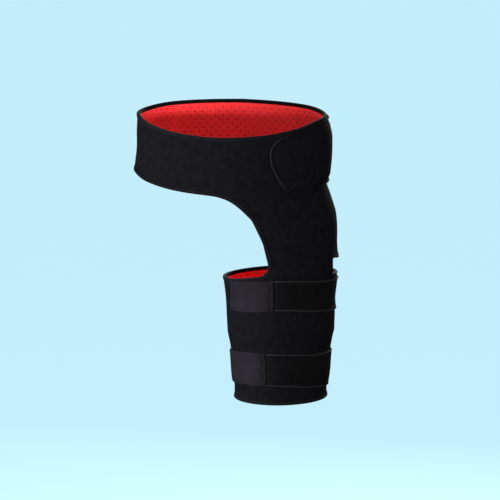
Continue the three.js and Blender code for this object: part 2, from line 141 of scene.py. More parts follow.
@dataclass
class BodyForm:
    """The form that the brace is worn on, in metres and degrees, with the edges of the cut sheet."""

    waist_width: float = 0.305
    waist_depth: float = 0.245
    band_height: float = 0.088
    rim_low_height: float = 0.0285
    rim_rise: float = 0.034
    rim_low_turn: float = -77.0
    rim_ease: float = 12.0
    thigh_width: float = 0.176
    thigh_depth: float = 0.196
    thigh_out: float = 0.088
    thigh_forward: float = 0.006
    hip_drop: float = 0.192
    wrap_height: float = 0.193
    thigh_rim_tilt: float = 0.004
    thigh_low_turn: float = 155.0
    front_join: float = -65.0
    rear_join: float = 1.0
    end_roundness: float = 0.15
    # How deep the upper strap pulls the sheet in, round which turn, and between which heights.
    pinch: float = 3.0 * MM
    pinch_turn: float = 30.0
    pinch_top: tuple[float, float] = (-0.176, -0.194)
    pinch_foot: tuple[float, float] = (-0.228, -0.256)
    # How softly wrap_edge passes the joins, and how far up it lies where the wrap has no edge.
    join_blend: float = 8.0
    far_up: float = 0.1

    hip_sections: tuple[Section, ...] = (
        Section(-0.38, 0, 1, 1),
        Section(-0.24, 0, 1, 1),
        Section(-0.1, 0, 1.01, 1),
        Section(0, 0, 1.011, 1),
        Section(0.13, -0.02, 1.008, 1),
        Section(0.235, -0.04, 1.003, 1),
        Section(0.355, 0.06, 1.044, 1),
        Section(0.43, 0.16, 1.068, 1.01),
        Section(0.5, 0.27, 1.081, 1.02),
        Section(0.595, 0.42, 1.08, 1.03),
        Section(0.775, 0.75, 1.033, 1.02),
        Section(0.89, 0.93, 1.016, 1.01),
        Section(1, 1, 1, 1),
    )
    wrap_sections: tuple[Taper, ...] = (
        Taper(0.2, 0.954),
        Taper(0.425, 0.93),
        Taper(0.62, 0.864),
        Taper(0.79, 0.838),
        Taper(0.945, 0.8),
        Taper(1.03, 0.813),
    )
    waist_rim: tuple[Row, ...] = (
        Row(0, 0),
        Row(25, 0.13),
        Row(50, 0.37),
        Row(75, 0.66),
        Row(105, 0.79),
        Row(135, 0.93),
        Row(180, 1),
    )
    front_curve: tuple[JoinRow, ...] = (
        JoinRow(0, 0.263, 0.423),
        JoinRow(3.5, 0.14, 0.257),
        JoinRow(6.7, 0.074, 0.157),
        JoinRow(10, 0.035, 0.107),
        JoinRow(15, 0.008, 0.067),
        JoinRow(22, 0, 0.045),
        JoinRow(32, 0, 0.032),
        JoinRow(45, 0, 0.015),
        JoinRow(60, 0, 0),
    )
    rear_curve: tuple[JoinRow, ...] = (
        JoinRow(0, 0.83, 0.015),
        JoinRow(3.5, 0.824, 0.002),
        JoinRow(11, 0.836, 0),
        JoinRow(22, 0.849, 0),
        JoinRow(34, 0.848, 0),
        JoinRow(46, 0.846, 0),
        JoinRow(57, 0.84, 0),
        JoinRow(67, 0.82, 0),
        JoinRow(74, 0.785, 0),
        JoinRow(79, 0.73, 0),
        JoinRow(84, 0.64, 0),
        JoinRow(89, 0.53, 0),
        JoinRow(95, 0.39, 0),
        JoinRow(101, 0.27, 0),
        JoinRow(107, 0.17, 0),
        JoinRow(113, 0.09, 0),
        JoinRow(122, 0.03, 0),
        JoinRow(133, 0, 0),
    )
    creases: tuple[Crease, ...] = (
        Crease(-112, -0.268, 0.045, 0.006, 12, 0.0011),
        Crease(-96, -0.258, 0.05, 0.005, -8, -0.0009),
        Crease(-118, -0.283, 0.05, 0.005, 4, 0.0009),
        Crease(-84, -0.277, 0.035, 0.005, 20, 0.0008),
        Crease(-62, -0.150, 0.035, 0.008, 60, -0.0011),
        Crease(-50, -0.135, 0.04, 0.009, 65, 0.0010),
        Crease(-36, -0.168, 0.05, 0.010, 70, -0.0008),
        Crease(-128, -0.372, 0.05, 0.005, 5, 0.0008),
        Crease(-100, -0.02, 0.08, 0.016, 8, 0.0009),
        Crease(-140, 0.0, 0.07, 0.014, -10, -0.0008),
        Crease(100, -0.01, 0.09, 0.016, 6, 0.0010),
        Crease(150, -0.005, 0.07, 0.014, -8, -0.0009),
        Crease(35, -0.09, 0.06, 0.012, 20, 0.0010),
        Crease(70, -0.11, 0.06, 0.010, 35, -0.0010),
        Crease(20, -0.28, 0.05, 0.006, 6, 0.0009),
        Crease(110, -0.27, 0.06, 0.006, -6, 0.0010),
        Crease(165, -0.275, 0.05, 0.006, 8, -0.0008),
    )

    def __post_init__(self) -> None:
        """Makes the curves that the tables describe."""
        depths = [row.down * self.hip_drop for row in self.hip_sections]
        depths += [self.hip_drop + row.down * self.wrap_height for row in self.wrap_sections]
        tail = [1.0] * len(self.wrap_sections)
        sizes = [row.size for row in self.wrap_sections]
        self.leg_at = Curve(list(zip(depths, [row.leg for row in self.hip_sections] + tail)))
        self.wide_at = Curve(list(zip(depths, [row.wide for row in self.hip_sections] + sizes)))
        self.deep_at = Curve(list(zip(depths, [row.deep for row in self.hip_sections] + sizes)))
        self.rise_at = Curve(self.waist_rim)
        self.front_over = Curve([(row.away, row.over) for row in self.front_curve])
        self.front_under = Curve([(row.away, row.under) for row in self.front_curve])
        self.rear_over = Curve([(row.away, row.over) for row in self.rear_curve])
        self.rear_under = Curve([(row.away, row.under) for row in self.rear_curve])
        self.mid_turn = (self.front_join + self.rear_join) / 2
        self.hem = -self.hip_drop - self.wrap_height

    def halves(self, height: np.ndarray) -> tuple[np.ndarray, np.ndarray, np.ndarray]:
        """Gives the section at each height: its share of the way to the leg and its two half sizes.

        Args:
            height: Heights, in metres.

        Returns:
            The share of the way, half the width and half the depth.
        """
        leg = self.leg_at(-height)
        wide = self.waist_width + (self.thigh_width - self.waist_width) * leg
        deep = self.waist_depth + (self.thigh_depth - self.waist_depth) * leg
        return leg, wide / 2 * self.wide_at(-height), deep / 2 * self.deep_at(-height)

    def girth(self, height: np.ndarray) -> np.ndarray:
        """Gives the length once round the form at each height."""
        _, a, b = self.halves(np.asarray(height, dtype=float))
        return math.pi * (3 * (a + b) - np.sqrt((3 * a + b) * (a + 3 * b)))

    def relief(self, turn: np.ndarray, height: np.ndarray) -> np.ndarray:
        """Gives the height of the soft folds, and the pinch of the upper strap, at each place.

        Args:
            turn: Degrees round the body.
            height: Heights, in metres.

        Returns:
            How far the cloth stands out, or in where it is negative.
        """
        side = np.clip(np.cos(np.radians(turn - self.pinch_turn)), 0, None)
        pinched = smooth_step(*self.pinch_top, height) * (1 - smooth_step(*self.pinch_foot, height))
        total = -self.pinch * side * pinched
        radius = self.girth(height) / (2 * math.pi)
        for crease in self.creases:
            away = np.radians((turn - crease.turn + 180) % 360 - 180) * radius
            up = height - crease.height
            slant = math.radians(crease.slant)
            along = away * math.cos(slant) + up * math.sin(slant)
            across = up * math.cos(slant) - away * math.sin(slant)
            fade = np.exp(-((along / crease.length) ** 2) - (across / crease.width) ** 2)
            total = total + crease.stand * fade
        return total

    def point(self, turn: np.ndarray, height: np.ndarray) -> np.ndarray:
        """Gives the points of the neoprene's outer face.

        Args:
            turn: Degrees round the body.
            height: Heights, in metres.

        Returns:
            A point for each place.
        """
        leg, a, b = self.halves(height)
        angle = np.radians(turn)
        normal = np.stack([np.cos(angle) / a, np.sin(angle) / b], axis=-1)
        normal /= np.linalg.norm(normal, axis=-1, keepdims=True)
        folds = self.relief(turn, height)
        x = self.thigh_out * leg + a * np.cos(angle) + normal[..., 0] * folds
        y = -self.thigh_forward * leg + b * np.sin(angle) + normal[..., 1] * folds
        return np.stack([x, y, height], axis=-1)

    def outward(self, turn: np.ndarray, height: np.ndarray) -> np.ndarray:
        """Gives the directions square to the outer face.

        Args:
            turn: Degrees round the body.
            height: Heights, in metres.

        Returns:
            A vector of length 1 for each place.
        """
        around = self.point(turn + 0.5, height) - self.point(turn - 0.5, height)
        up = self.point(turn, height + MM) - self.point(turn, height - MM)
        out = np.cross(around, up)
        return out / np.linalg.norm(out, axis=-1, keepdims=True)

    def place(self, turn: np.ndarray, height: np.ndarray, stand: np.ndarray) -> np.ndarray:
        """Gives points that stand off the outer face, or lie within it where stand is negative."""
        stand = np.asarray(stand, dtype=float)
        return self.point(turn, height) + self.outward(turn, height) * stand[..., None]

    def rim(self, turn: np.ndarray) -> np.ndarray:
        """Gives the height of the waist rim, which is round at its low point.

        Args:
            turn: Degrees round the body.

        Returns:
            A height for each turn.
        """
        away = np.abs((turn - self.rim_low_turn + 180) % 360 - 180)
        away = np.where(away < self.rim_ease, away * away / self.rim_ease / 2 + self.rim_ease / 2, away)
        return self.rim_low_height + self.rim_rise * self.rise_at(away)

    def thigh_rim(self, turn: np.ndarray) -> np.ndarray:
        """Gives the height of the thigh wrap's rim."""
        return -self.hip_drop - self.thigh_rim_tilt * np.cos(np.radians(turn - self.thigh_low_turn))

    def opening_heights(self, turn: np.ndarray) -> tuple[np.ndarray, np.ndarray]:
        """Gives the heights of the opening's upper and lower edge.

        Args:
            turn: Degrees, from the rear join less a whole turn up to the front join.

        Returns:
            The upper and the lower edge's heights.
        """
        front, rear = self.front_join - turn, turn - (self.rear_join - 360)
        over = self.front_over(front) + self.rear_over(rear)
        under = self.front_under(front) + self.rear_under(rear)
        band, foot = self.rim(turn) - self.band_height, self.thigh_rim(turn)
        return band + (foot - band) * over, foot + (band - foot) * under

    def wrap_edge(self, turn: np.ndarray) -> np.ndarray:
        """Gives the height of the wrap's bound edge, which lies far up where the hip panel joins it.

        Args:
            turn: Degrees round the body.

        Returns:
            A height for each turn.
        """
        behind = np.where(turn > self.rear_join, turn - 360, turn)
        bound = self.opening_heights(np.clip(behind, self.rear_join - 360, self.front_join))[1]
        free = smooth_step(self.front_join - self.join_blend, self.front_join, turn)
        free = free * (1 - smooth_step(self.rear_join - self.join_blend, self.rear_join, turn))
        return np.where(turn > self.front_join, self.thigh_rim(turn), bound) + self.far_up * free

    def turn_of(self, along: np.ndarray, height: np.ndarray) -> np.ndarray:
        """Turns a length round the body, from the hip panel's middle, into degrees."""
        return self.mid_turn + 360 * along / self.girth(height)

    def lay_sheet(self, flat: np.ndarray) -> np.ndarray:
        """Lays the flat cut sheet on the form."""
        turn = self.turn_of(flat[:, 0], flat[:, 1])
        return self.place(turn, flat[:, 1], flat[:, 2])


class Edge:
    """An edge of the cut sheet as a line of turns and heights, with the way along it."""

    way_step = 2 * MM

    def __init__(self, form: BodyForm, turns: np.ndarray, heights: np.ndarray, closed: bool = True) -> None:
        """Measures the line.

        Args:
            form: The body's form.
            turns: Degrees of its points.
            heights: Heights of its points, in metres.
            closed: Whether it runs back to its start.
        """
        self.form = form
        self.closed = closed
        if closed:
            turns, heights = np.append(turns, turns[0]), np.append(heights, heights[0])
            if abs(turns[-2] - turns[-1]) > 180:
                turns[-1] += math.copysign(360, turns[-2] - turns[-1])
        points = form.point(turns, heights)
        steps = np.linalg.norm(np.diff(points, axis=0), axis=1)
        self.at = np.concatenate([[0.0], np.cumsum(steps)])
        self.length = float(self.at[-1])
        self.turns, self.heights = turns, heights

    def where(self, along: np.ndarray) -> tuple[np.ndarray, np.ndarray]:
        """Finds places along the edge.

        Args:
            along: Lengths from its start, which may run past its ends where it is closed.

        Returns:
            The turn and the height at each length.
        """
        laps = np.floor(along / self.length) if self.closed else np.zeros_like(along)
        within = along - laps * self.length
        lap_turn = self.turns[-1] - self.turns[0]
        turn = np.interp(within, self.at, self.turns) + laps * lap_turn
        return turn, np.interp(within, self.at, self.heights)

    def lay(self, flat: np.ndarray) -> np.ndarray:
        """Lays flat points along the edge.

        Args:
            flat: Points with x along the edge, y past it and z off the outer face.

        Returns:
            Their places.
        """
        turn, height = self.where(flat[:, 0])
        low, high = flat[:, 0] - self.way_step, flat[:, 0] + self.way_step
        if not self.closed:
            low, high = np.clip(low, 0, None), np.clip(high, None, self.length)
        way = self.form.point(*self.where(high)) - self.form.point(*self.where(low))
        way /= np.linalg.norm(way, axis=-1, keepdims=True)
        out = self.form.outward(turn, height)
        past = np.cross(way, out)
        past /= np.linalg.norm(past, axis=-1, keepdims=True)
        return self.form.point(turn, height) + out * flat[:, 2:3] + past * flat[:, 1:2]


def sheet_edges(form: BodyForm, step: float = 0.5, end_points: int = 12,
                inward: int = 6) -> dict[str, Edge]:
    """Makes the three bound edges of the cut sheet.

    Args:
        form: The body's form.
        step: Degrees between points where an edge is plain.
        end_points: Points on each rounded end of the opening.
        inward: How many points in from an end the way that an edge runs is taken.

    Returns:
        The waist rim, the opening and the hem.
    """
    ring = np.arange(form.mid_turn + 180, form.mid_turn - 180, -step)
    waist = Edge(form, ring, form.rim(ring))
    hem = Edge(form, ring[::-1], np.full_like(ring, form.hem))
    span = form.front_join - (form.rear_join - 360)
    share = np.linspace(0, 1, int(span / step) + 1)
    eased = (1 - np.cos(math.pi * share)) / 2
    turns = form.front_join - span * eased
    panel, wrap = form.opening_heights(turns)

    def end(index: int, near: int) -> tuple[np.ndarray, np.ndarray]:
        """Rounds one end of the opening with a curve that runs on from both of its edges.

        Args:
            index: The end's place in the edges' points.
            near: A place a little way in, which gives the way that each edge runs.

        Returns:
            The turns and the heights, from the wrap's edge to the panel's.
        """
        turn = turns[index]
        radius = float(form.girth(np.array([wrap[index]]))[0]) / 360
        reach = form.end_roundness * (panel[index] - wrap[index])
        away = turn - turns[near]
        handles = []
        for edge in (wrap, panel):
            rise = edge[index] - edge[near]
            scale = reach / math.hypot(away * radius, rise)
            handles.append((turn + away * scale, edge[index] + rise * scale))
        t = np.linspace(0, 1, end_points + 2)[1:-1]
        weights = [(1 - t) ** 3, 3 * t * (1 - t) ** 2, 3 * t * t * (1 - t), t ** 3]
        stops = [(turn, wrap[index]), *handles, (turn, panel[index])]
        return tuple(sum(w * stop[k] for w, stop in zip(weights, stops)) for k in (0, 1))

    front_turns, front_heights = end(0, inward)
    rear_turns, rear_heights = end(-1, -1 - inward)
    loop_turns = np.concatenate([turns, rear_turns, turns[::-1], front_turns[::-1]])
    loop_heights = np.concatenate([wrap, rear_heights, panel[::-1], front_heights[::-1]])
    return {"waist": waist, "opening": Edge(form, loop_turns, loop_heights), "hem": hem}


def flat_grid(columns: int, rows: int) -> bmesh.types.BMesh:
    """Makes a grid from 0 to 1 in x and y.

    Args:
        columns: Cells along x.
        rows: Cells along y.

    Returns:
        The grid.
    """
    bm = bmesh.new()
    place = Matrix.Translation((0.5, 0.5, 0))
    bmesh.ops.create_grid(bm, x_segments=columns, y_segments=rows, size=0.5, matrix=place)
    return bm


def coordinates(bm: bmesh.types.BMesh) -> np.ndarray:
    """Gives the mesh's points as an array."""
    return np.array([vert.co[:] for vert in bm.verts], dtype=float).reshape(-1, 3)


def move_to(bm: bmesh.types.BMesh, points: np.ndarray) -> None:
    """Moves the mesh's points."""
    for vert, point in zip(bm.verts, points):
        vert.co = point


def near_tree(points: Sequence[Sequence[float]]) -> KDTree:
    """Makes a tree that finds the nearest of some points.

    Args:
        points: The points, flat or with a height.

    Returns:
        The tree.
    """
    tree = KDTree(len(points))
    for i, point in enumerate(points):
        tree.insert((*point, 0.0)[:3], i)
    tree.balance()
    return tree


def thicken(bm: bmesh.types.BMesh, top: Lay | float, bottom: Lay | float) -> None:
    """Gives a flat cloth its thickness as a closed body.

    Args:
        bm: The cloth, in the flat.
        top: Height of its outer face, or a function of its flat points.
        bottom: Height of its inner face, in the same way.
    """
    made = bmesh.ops.extrude_face_region(bm, geom=bm.faces[:])
    upper = {item for item in made["geom"] if isinstance(item, bmesh.types.BMVert)}
    flat = coordinates(bm)
    tops = top(flat) if callable(top) else np.full(len(flat), top)
    bottoms = bottom(flat) if callable(bottom) else np.full(len(flat), bottom)
    for vert, high, low in zip(bm.verts, tops, bottoms):
        vert.co.z = high if vert in upper else low


def add_capsules(bm: bmesh.types.BMesh, places: Sequence[tuple[float, float, float, float]],
                 length: float, radius: float) -> None:
    """Adds stitches to a flat mesh.

    Args:
        bm: The mesh.
        places: For each stitch its x, y, z and its slant in degrees from the x axis.
        length: Length of a stitch.
        radius: Radius of the thread.
    """
    for x, y, z, slant in places:
        shape = Matrix.Diagonal((length / 2, radius, radius, 1))
        place = Matrix.Translation((x, y, z)) @ Matrix.Rotation(math.radians(slant), 4, "Z") @ shape
        bmesh.ops.create_icosphere(bm, subdivisions=1, radius=1.0, matrix=place)


def add_object(name: str, bm: bmesh.types.BMesh,
               materials: Sequence[bpy.types.Material]) -> bpy.types.Object:
    """Makes a mesh an object of the scene.

    Args:
        name: The object's name.
        bm: Its mesh, which is freed.
        materials: Its materials.

    Returns:
        The object.
    """
    mesh = bpy.data.meshes.new(name)
    bm.to_mesh(mesh)
    bm.free()
    for material in materials:
        mesh.materials.append(material)
    made = bpy.data.objects.new(name, mesh)
    bpy.context.scene.collection.objects.link(made)
    return made


def finish_piece(name: str, bm: bmesh.types.BMesh, lay: Lay, materials: Sequence[bpy.types.Material],
                 replaced: Sequence[str] = (), merge: float = 2e-5,
                 painted_highlight: Lay | None = None) -> bpy.types.Object:
    """Lays a flat mesh on the form and makes it an object of the brace.

    Args:
        name: The piece's name.
        bm: Its mesh in the flat, which is freed.
        lay: Turns flat points into places.
        materials: Its materials.
        replaced: The nodes that it stands for.
        merge: How near points are joined once they are laid.
        painted_highlight: Gives from flat points how strong a painted highlight is on them where they stand
            out, from 0 to 1.

    Returns:
        The object.
    """
    flat = coordinates(bm)
    # Painted highlight: each point's share of the cloth's lighter tint.
    if painted_highlight:
        wear = bm.verts.layers.float.new(PAINTED_HIGHLIGHT)
        for vert, share in zip(bm.verts, painted_highlight(flat)):
            vert[wear] = share
    bm.verts.index_update()
    layer = bm.loops.layers.uv.new(CLOTH_UV)
    for face in bm.faces:
        face.smooth = True
        for loop in face.loops:
            loop[layer].uv = flat[loop.vert.index][:2]
    move_to(bm, lay(flat))
    bmesh.ops.remove_doubles(bm, verts=bm.verts[:], dist=merge)
    bmesh.ops.dissolve_degenerate(bm, dist=1e-7, edges=bm.edges[:])
    if bm.calc_volume(signed=True) < 0:
        bmesh.ops.reverse_faces(bm, faces=bm.faces[:])
    piece = add_object(name, bm, materials)
    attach(piece, "root")
    if replaced:
        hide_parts(*replaced)
    log.info("%s: %d faces", name, len(piece.data.polygons))
    return piece


def flat_area(bm: bmesh.types.BMesh) -> float:
    """Gives the area of a mesh that still lies in the flat."""
    return sum(face.calc_area() for face in bm.faces)


def smooth_step(start: float, end: float, value: np.ndarray) -> np.ndarray:
    """Gives a soft rise from 0 at start to 1 at end."""
    share = np.clip((value - start) / (end - start), 0, 1)
    return share * share * (3 - 2 * share)


def from_least(least: float, share: np.ndarray) -> np.ndarray:
    """Gives least where share is 0, and 1 where it is 1."""
    return least + (1 - least) * share


def ridge(value: np.ndarray, middle: float, width: float) -> np.ndarray:
    """Gives a soft ridge that is 1 at its middle."""
    return np.exp(-((value - middle) / width) ** 2)


def round_edge(distance: np.ndarray, radius: float) -> np.ndarray:
    """Gives a rounded edge's share of the full height at each distance from it."""
    return np.sqrt(np.clip(distance / radius, 0, 1))


class Press(NamedTuple):
    """How a seam presses a cloth: its share of the thickness there, and how far off it is full."""

    least: float
    length: float

    def at(self, away: np.ndarray) -> np.ndarray:
        """Gives the share of the thickness at each distance from the seam."""
        return from_least(self.least, smooth_step(0, self.length, away))


class Gather(NamedTuple):
    """The small waves that a seam draws into a cloth: their pitch, and how far they run from it."""

    pitch: float
    fade: float

    def at(self, across: np.ndarray, away: np.ndarray) -> np.ndarray:
        """Gives the waves' height, from -1 to 1."""
        return np.cos(2 * math.pi * across / self.pitch) * np.exp(-away / self.fade)


def stitch_line(start: tuple[float, float], end: tuple[float, float], pitch: float,
                stand: float) -> list[tuple[float, float, float, float]]:
    """Lists the stitches of one straight row.

    Args:
        start: The row's first point in the flat.
        end: Its last point.
        pitch: Length of one stitch and its gap.
        stand: Height of the thread's middle.

    Returns:
        For each stitch its x, y, z and its slant in degrees.
    """
    span = math.dist(start, end)
    count = max(1, round(span / pitch))
    slant = math.degrees(math.atan2(end[1] - start[1], end[0] - start[0]))
    shares = [(i + 0.5) / count for i in range(count)]
    return [(start[0] + (end[0] - start[0]) * s, start[1] + (end[1] - start[1]) * s, stand, slant)
            for s in shares]


class CutSheet:
    """The one sheet that the band, the hip panel and the thigh wrap are cut from, still in the flat.

    A grid's points that lie near the sheet's ends or cut lines move onto them. How near is given in cells.
    """

    line_step = 0.5 * MM
    end_snap = 0.45
    line_snap = 0.2
    line_reach = 1.5
    hole_from_end = 0.75

    def __init__(self, form: BodyForm, edges: dict[str, Edge]) -> None:
        """Draws the cut lines in the flat.

        Args:
            form: The body's form.
            edges: The sheet's three edges.
        """
        self.form = form
        self.top = float(form.rim(np.arange(0.0, 360.0)).max())
        heights = np.linspace(form.hem, self.top, 60)
        self.half = float(form.girth(heights).max()) / 2
        self.opening = (edges["opening"].turns[:-1], edges["opening"].heights[:-1])
        lines = []
        for edge in edges.values():
            along = np.arange(0, edge.length, self.line_step)
            turns, levels = edge.where(along)
            for lap in (-360, 0, 360):
                x = (turns + lap - form.mid_turn) / 360 * form.girth(levels)
                near = np.abs(turns + lap - form.mid_turn) <= 180
                lines.append(np.stack([x[near], levels[near]], axis=-1))
        self.outline = np.concatenate(lines)
        self.near_outline = near_tree(self.outline)

    def covers(self, x: np.ndarray, y: np.ndarray) -> np.ndarray:
        """Tells which flat points lie on the sheet.

        Args:
            x: Their lengths round the body.
            y: Their heights.

        Returns:
            True for each point on it.
        """
        turn = self.form.turn_of(x, y)
        on = (y <= self.form.rim(turn)) & (y >= self.form.hem)
        around, heights = self.opening
        for lap in (0, -360, 360):
            inside = np.zeros(len(x), dtype=bool)
            t = turn + lap
            for i in range(len(around)):
                t0, h0, t1, h1 = around[i - 1], heights[i - 1], around[i], heights[i]
                if h0 == h1:
                    continue
                crosses = (h0 > y) != (h1 > y)
                inside ^= crosses & (t < t0 + (y - h0) / (h1 - h0) * (t1 - t0))
            on &= ~inside
        return on

    def cut(self, cell: float, hole_margin: float = 0.0) -> bmesh.types.BMesh:
        """Cuts a grid of cells to the sheet's outline.

        Args:
            cell: Size of a cell.
            hole_margin: Least distance of a hole's middle from an edge, or 0 for no holes.

        Returns:
            The flat sheet, whose points that take a hole are marked in the layer HOLE.
        """
        columns = round(2 * self.half / cell)
        rows = round((self.top - self.form.hem) / cell)
        bm = flat_grid(columns, rows)
        seam_turn = np.array([self.form.mid_turn - 180])
        levels = [self.form.hem, self.form.rim(seam_turn)[0]]
        levels += [level[0] for level in self.form.opening_heights(seam_turn)]
        share = coordinates(bm)
        x = (share[:, 0] - 0.5) * 2 * self.half
        y = self.form.hem + share[:, 1] * (self.top - self.form.hem)
        limit = self.form.girth(y) / 2
        beyond = np.abs(x) - limit
        x = np.where(beyond > -self.end_snap * cell, np.sign(x) * limit, x)
        on = self.covers(x, y) & (beyond < cell)
        layer = bm.verts.layers.int.new(HOLE)
        steps_x, steps_y = np.rint(share[:, 0] * columns), np.rint(share[:, 1] * rows)
        for i, vert in enumerate(bm.verts):
            vert.co = (x[i], y[i], 0)
            _, found, distance = self.near_outline.find(vert.co)
            clear = distance > hole_margin and limit[i] - abs(x[i]) > cell * self.hole_from_end
            even = (steps_x[i] + steps_y[i]) % 2 == 0
            vert[layer] = int(bool(hole_margin) and on[i] and clear and even)
            vert.tag = bool(on[i])
            if distance >= self.line_reach * cell or (on[i] and distance >= self.line_snap * cell):
                continue
            if beyond[i] > -self.end_snap * cell:
                level = min(levels, key=lambda value: abs(value - y[i]))
                vert.co.xy = (math.copysign(self.form.girth(level) / 2, x[i]), level)
            else:
                vert.co.xy = self.outline[found]
        gone = [face for face in bm.faces if not any(vert.tag for vert in face.verts)]
        bmesh.ops.delete(bm, geom=gone, context="FACES")
        bmesh.ops.remove_doubles(bm, verts=bm.verts[:], dist=1e-5)
        bmesh.ops.dissolve_degenerate(bm, dist=1e-5, edges=bm.edges[:])
        return bm

    def open_ends(self, bm: bmesh.types.BMesh) -> None:
        """Takes the end walls off a thickened sheet, so that its ends weld where they meet.

        Args:
            bm: The sheet, thickened but still flat.
        """
        flat = coordinates(bm)
        bm.verts.index_update()
        at_end = np.abs(np.abs(flat[:, 0]) - self.form.girth(flat[:, 1]) / 2) < 1e-6
        walls = [face for face in bm.faces if all(at_end[vert.index] for vert in face.verts)]
        bmesh.ops.delete(bm, geom=walls, context="FACES")


def linear(hex_colour: str) -> tuple[float, float, float, float]:
    """Turns an sRGB hex colour into linear values.

    Args:
        hex_colour: Six hex digits after a hash.

    Returns:
        Red, green, blue and a full alpha.
    """
    channels = [int(hex_colour[i:i + 2], 16) / 255 for i in (1, 3, 5)]
    red, green, blue = (c / 12.92 if c <= 0.04045 else ((c + 0.055) / 1.055) ** 2.4 for c in channels)
    return red, green, blue, 1.0


def add_node(tree: bpy.types.NodeTree, kind: str, settings: dict | None = None,
             inputs: dict | None = None) -> bpy.types.Node:
    """Adds a shader node.

    Args:
        tree: The material's nodes.
        kind: The node's type.
        settings: Its properties.
        inputs: Values or sockets for its inputs, by name or number.

    Returns:
        The node.
    """
    node = tree.nodes.new(kind)
    for name, value in (settings or {}).items():
        setattr(node, name, value)
    for name, value in (inputs or {}).items():
        if isinstance(value, bpy.types.NodeSocket):
            tree.links.new(value, node.inputs[name])
        else:
            node.inputs[name].default_value = value
    return node


class Knit(Enum):
    """How a cloth's face is made."""

    LOOPED = "looped"
    JERSEY = "jersey"
    RIBBED = "ribbed"
    SMOOTH = "smooth"


@dataclass(frozen=True)
class Cloth:
    """A cloth's finish: its colours, its face and how it takes the light."""

    name: str
    colour: str
    worn: str
    knit: Knit
    pitch: float
    relief: float
    roughness: float
    specular: float = 0.25
    cloud: float = 30 * MM
    sheen: float = 0.0
    sheen_tint: str = "#ffffff"
    # The lighter tint of a painted highlight, laid where a piece's points ask for it.
    painted_highlight: str = ""
    lint: str = ""
    fuzz_size: float = 1.6
    fuzz_share: float = 0.55
    lint_apart: float = 15 * MM
    lint_radius: tuple[float, float] = (0.02, 0.05)
    lint_cover: float = 0.6

    def material(self) -> bpy.types.Material:
        """Builds the material from the cloth's own UV map, which is in metres.

        Returns:
            The material.
        """
        material = bpy.data.materials.new(self.name)
        material.use_nodes = True
        tree = material.node_tree
        shader = tree.nodes["Principled BSDF"]
        flat = add_node(tree, "ShaderNodeUVMap", {"uv_map": CLOTH_UV}).outputs["UV"]
        cloud = add_node(tree, "ShaderNodeTexNoise", inputs={
            "Vector": flat, "Scale": 1 / self.cloud, "Detail": 3.0, "Roughness": 0.55})
        fuzz = add_node(tree, "ShaderNodeTexNoise", inputs={
            "Vector": flat, "Scale": 1 / (self.pitch * self.fuzz_size), "Detail": 2.0,
            "Roughness": 0.6}).outputs["Fac"]
        blend = add_node(tree, "ShaderNodeMath", {"operation": "MULTIPLY_ADD"}, {
            0: fuzz, 1: self.fuzz_share, 2: cloud.outputs["Fac"]})
        worn = add_node(tree, "ShaderNodeMapRange", inputs={
            "Value": blend.outputs[0], "From Min": 0.55, "From Max": 1.0})
        layers = [(worn.outputs["Result"], self.worn)]
        # A painted highlight: mixes in the lighter tint by the piece's vertex layer.
        if self.painted_highlight:
            painted_highlight = add_node(tree, "ShaderNodeAttribute", {"attribute_name": PAINTED_HIGHLIGHT})
            layers.append((painted_highlight.outputs["Fac"], self.painted_highlight))
        if self.lint:
            specks = add_node(tree, "ShaderNodeTexVoronoi", inputs={
                "Vector": flat, "Scale": 1 / self.lint_apart, "Randomness": 1.0})
            speck = add_node(tree, "ShaderNodeMapRange", inputs={
                "Value": specks.outputs["Distance"], "From Min": self.lint_radius[0],
                "From Max": self.lint_radius[1], "To Min": self.lint_cover, "To Max": 0.0})
            layers.append((speck.outputs["Result"], self.lint))
        colour = linear(self.colour)
        for share, tint in layers:
            colour = add_node(tree, "ShaderNodeMix", {"data_type": "RGBA"}, {
                "Factor": share, 6: colour, 7: linear(tint)}).outputs[2]
        tree.links.new(colour, shader.inputs["Base Color"])
        bump = add_node(tree, "ShaderNodeBump", inputs={
            "Height": self.face(tree, flat, fuzz), "Strength": 1.0, "Distance": self.relief})
        tree.links.new(bump.outputs["Normal"], shader.inputs["Normal"])
        shader.inputs["Roughness"].default_value = self.roughness
        shader.inputs["Specular IOR Level"].default_value = self.specular
        shader.inputs["Sheen Weight"].default_value = self.sheen
        shader.inputs["Sheen Roughness"].default_value = 0.45
        shader.inputs["Sheen Tint"].default_value = linear(self.sheen_tint)
        return material

    def face(self, tree: bpy.types.NodeTree, flat: bpy.types.NodeSocket,
             fuzz: bpy.types.NodeSocket) -> bpy.types.NodeSocket:
        """Draws the height of the cloth's face.

        Args:
            tree: The material's nodes.
            flat: The flat place.
            fuzz: The fine noise.

        Returns:
            The socket of the height, from 0 to about 1.
        """
        if self.knit is Knit.SMOOTH:
            return fuzz
        if self.knit is Knit.LOOPED:
            loops = add_node(tree, "ShaderNodeTexVoronoi", inputs={
                "Vector": flat, "Scale": 1 / self.pitch, "Randomness": 1.0})
            return add_node(tree, "ShaderNodeMath", {"operation": "MULTIPLY_ADD"}, {
                0: loops.outputs["Distance"], 1: 0.6, 2: fuzz}).outputs[0]
        # A wave texture repeats every pi / 10 divided by its scale, so this makes its period the pitch.
        waves = [add_node(tree, "ShaderNodeTexWave", {
            "wave_type": "BANDS", "bands_direction": direction, "wave_profile": "SIN"}, {
            "Vector": flat, "Scale": math.pi / (10 * self.pitch), "Distortion": 0.4,
            "Detail": 1.0}).outputs["Fac"] for direction in ("XY" if self.knit is Knit.JERSEY else "Y")]
        height = waves[0]
        for wave in waves[1:]:
            height = add_node(tree, "ShaderNodeMath", {"operation": "MULTIPLY"}, {
                0: height, 1: wave}).outputs[0]
        return add_node(tree, "ShaderNodeMath", {"operation": "MULTIPLY_ADD"}, {
            0: fuzz, 1: 0.5, 2: height}).outputs[0]


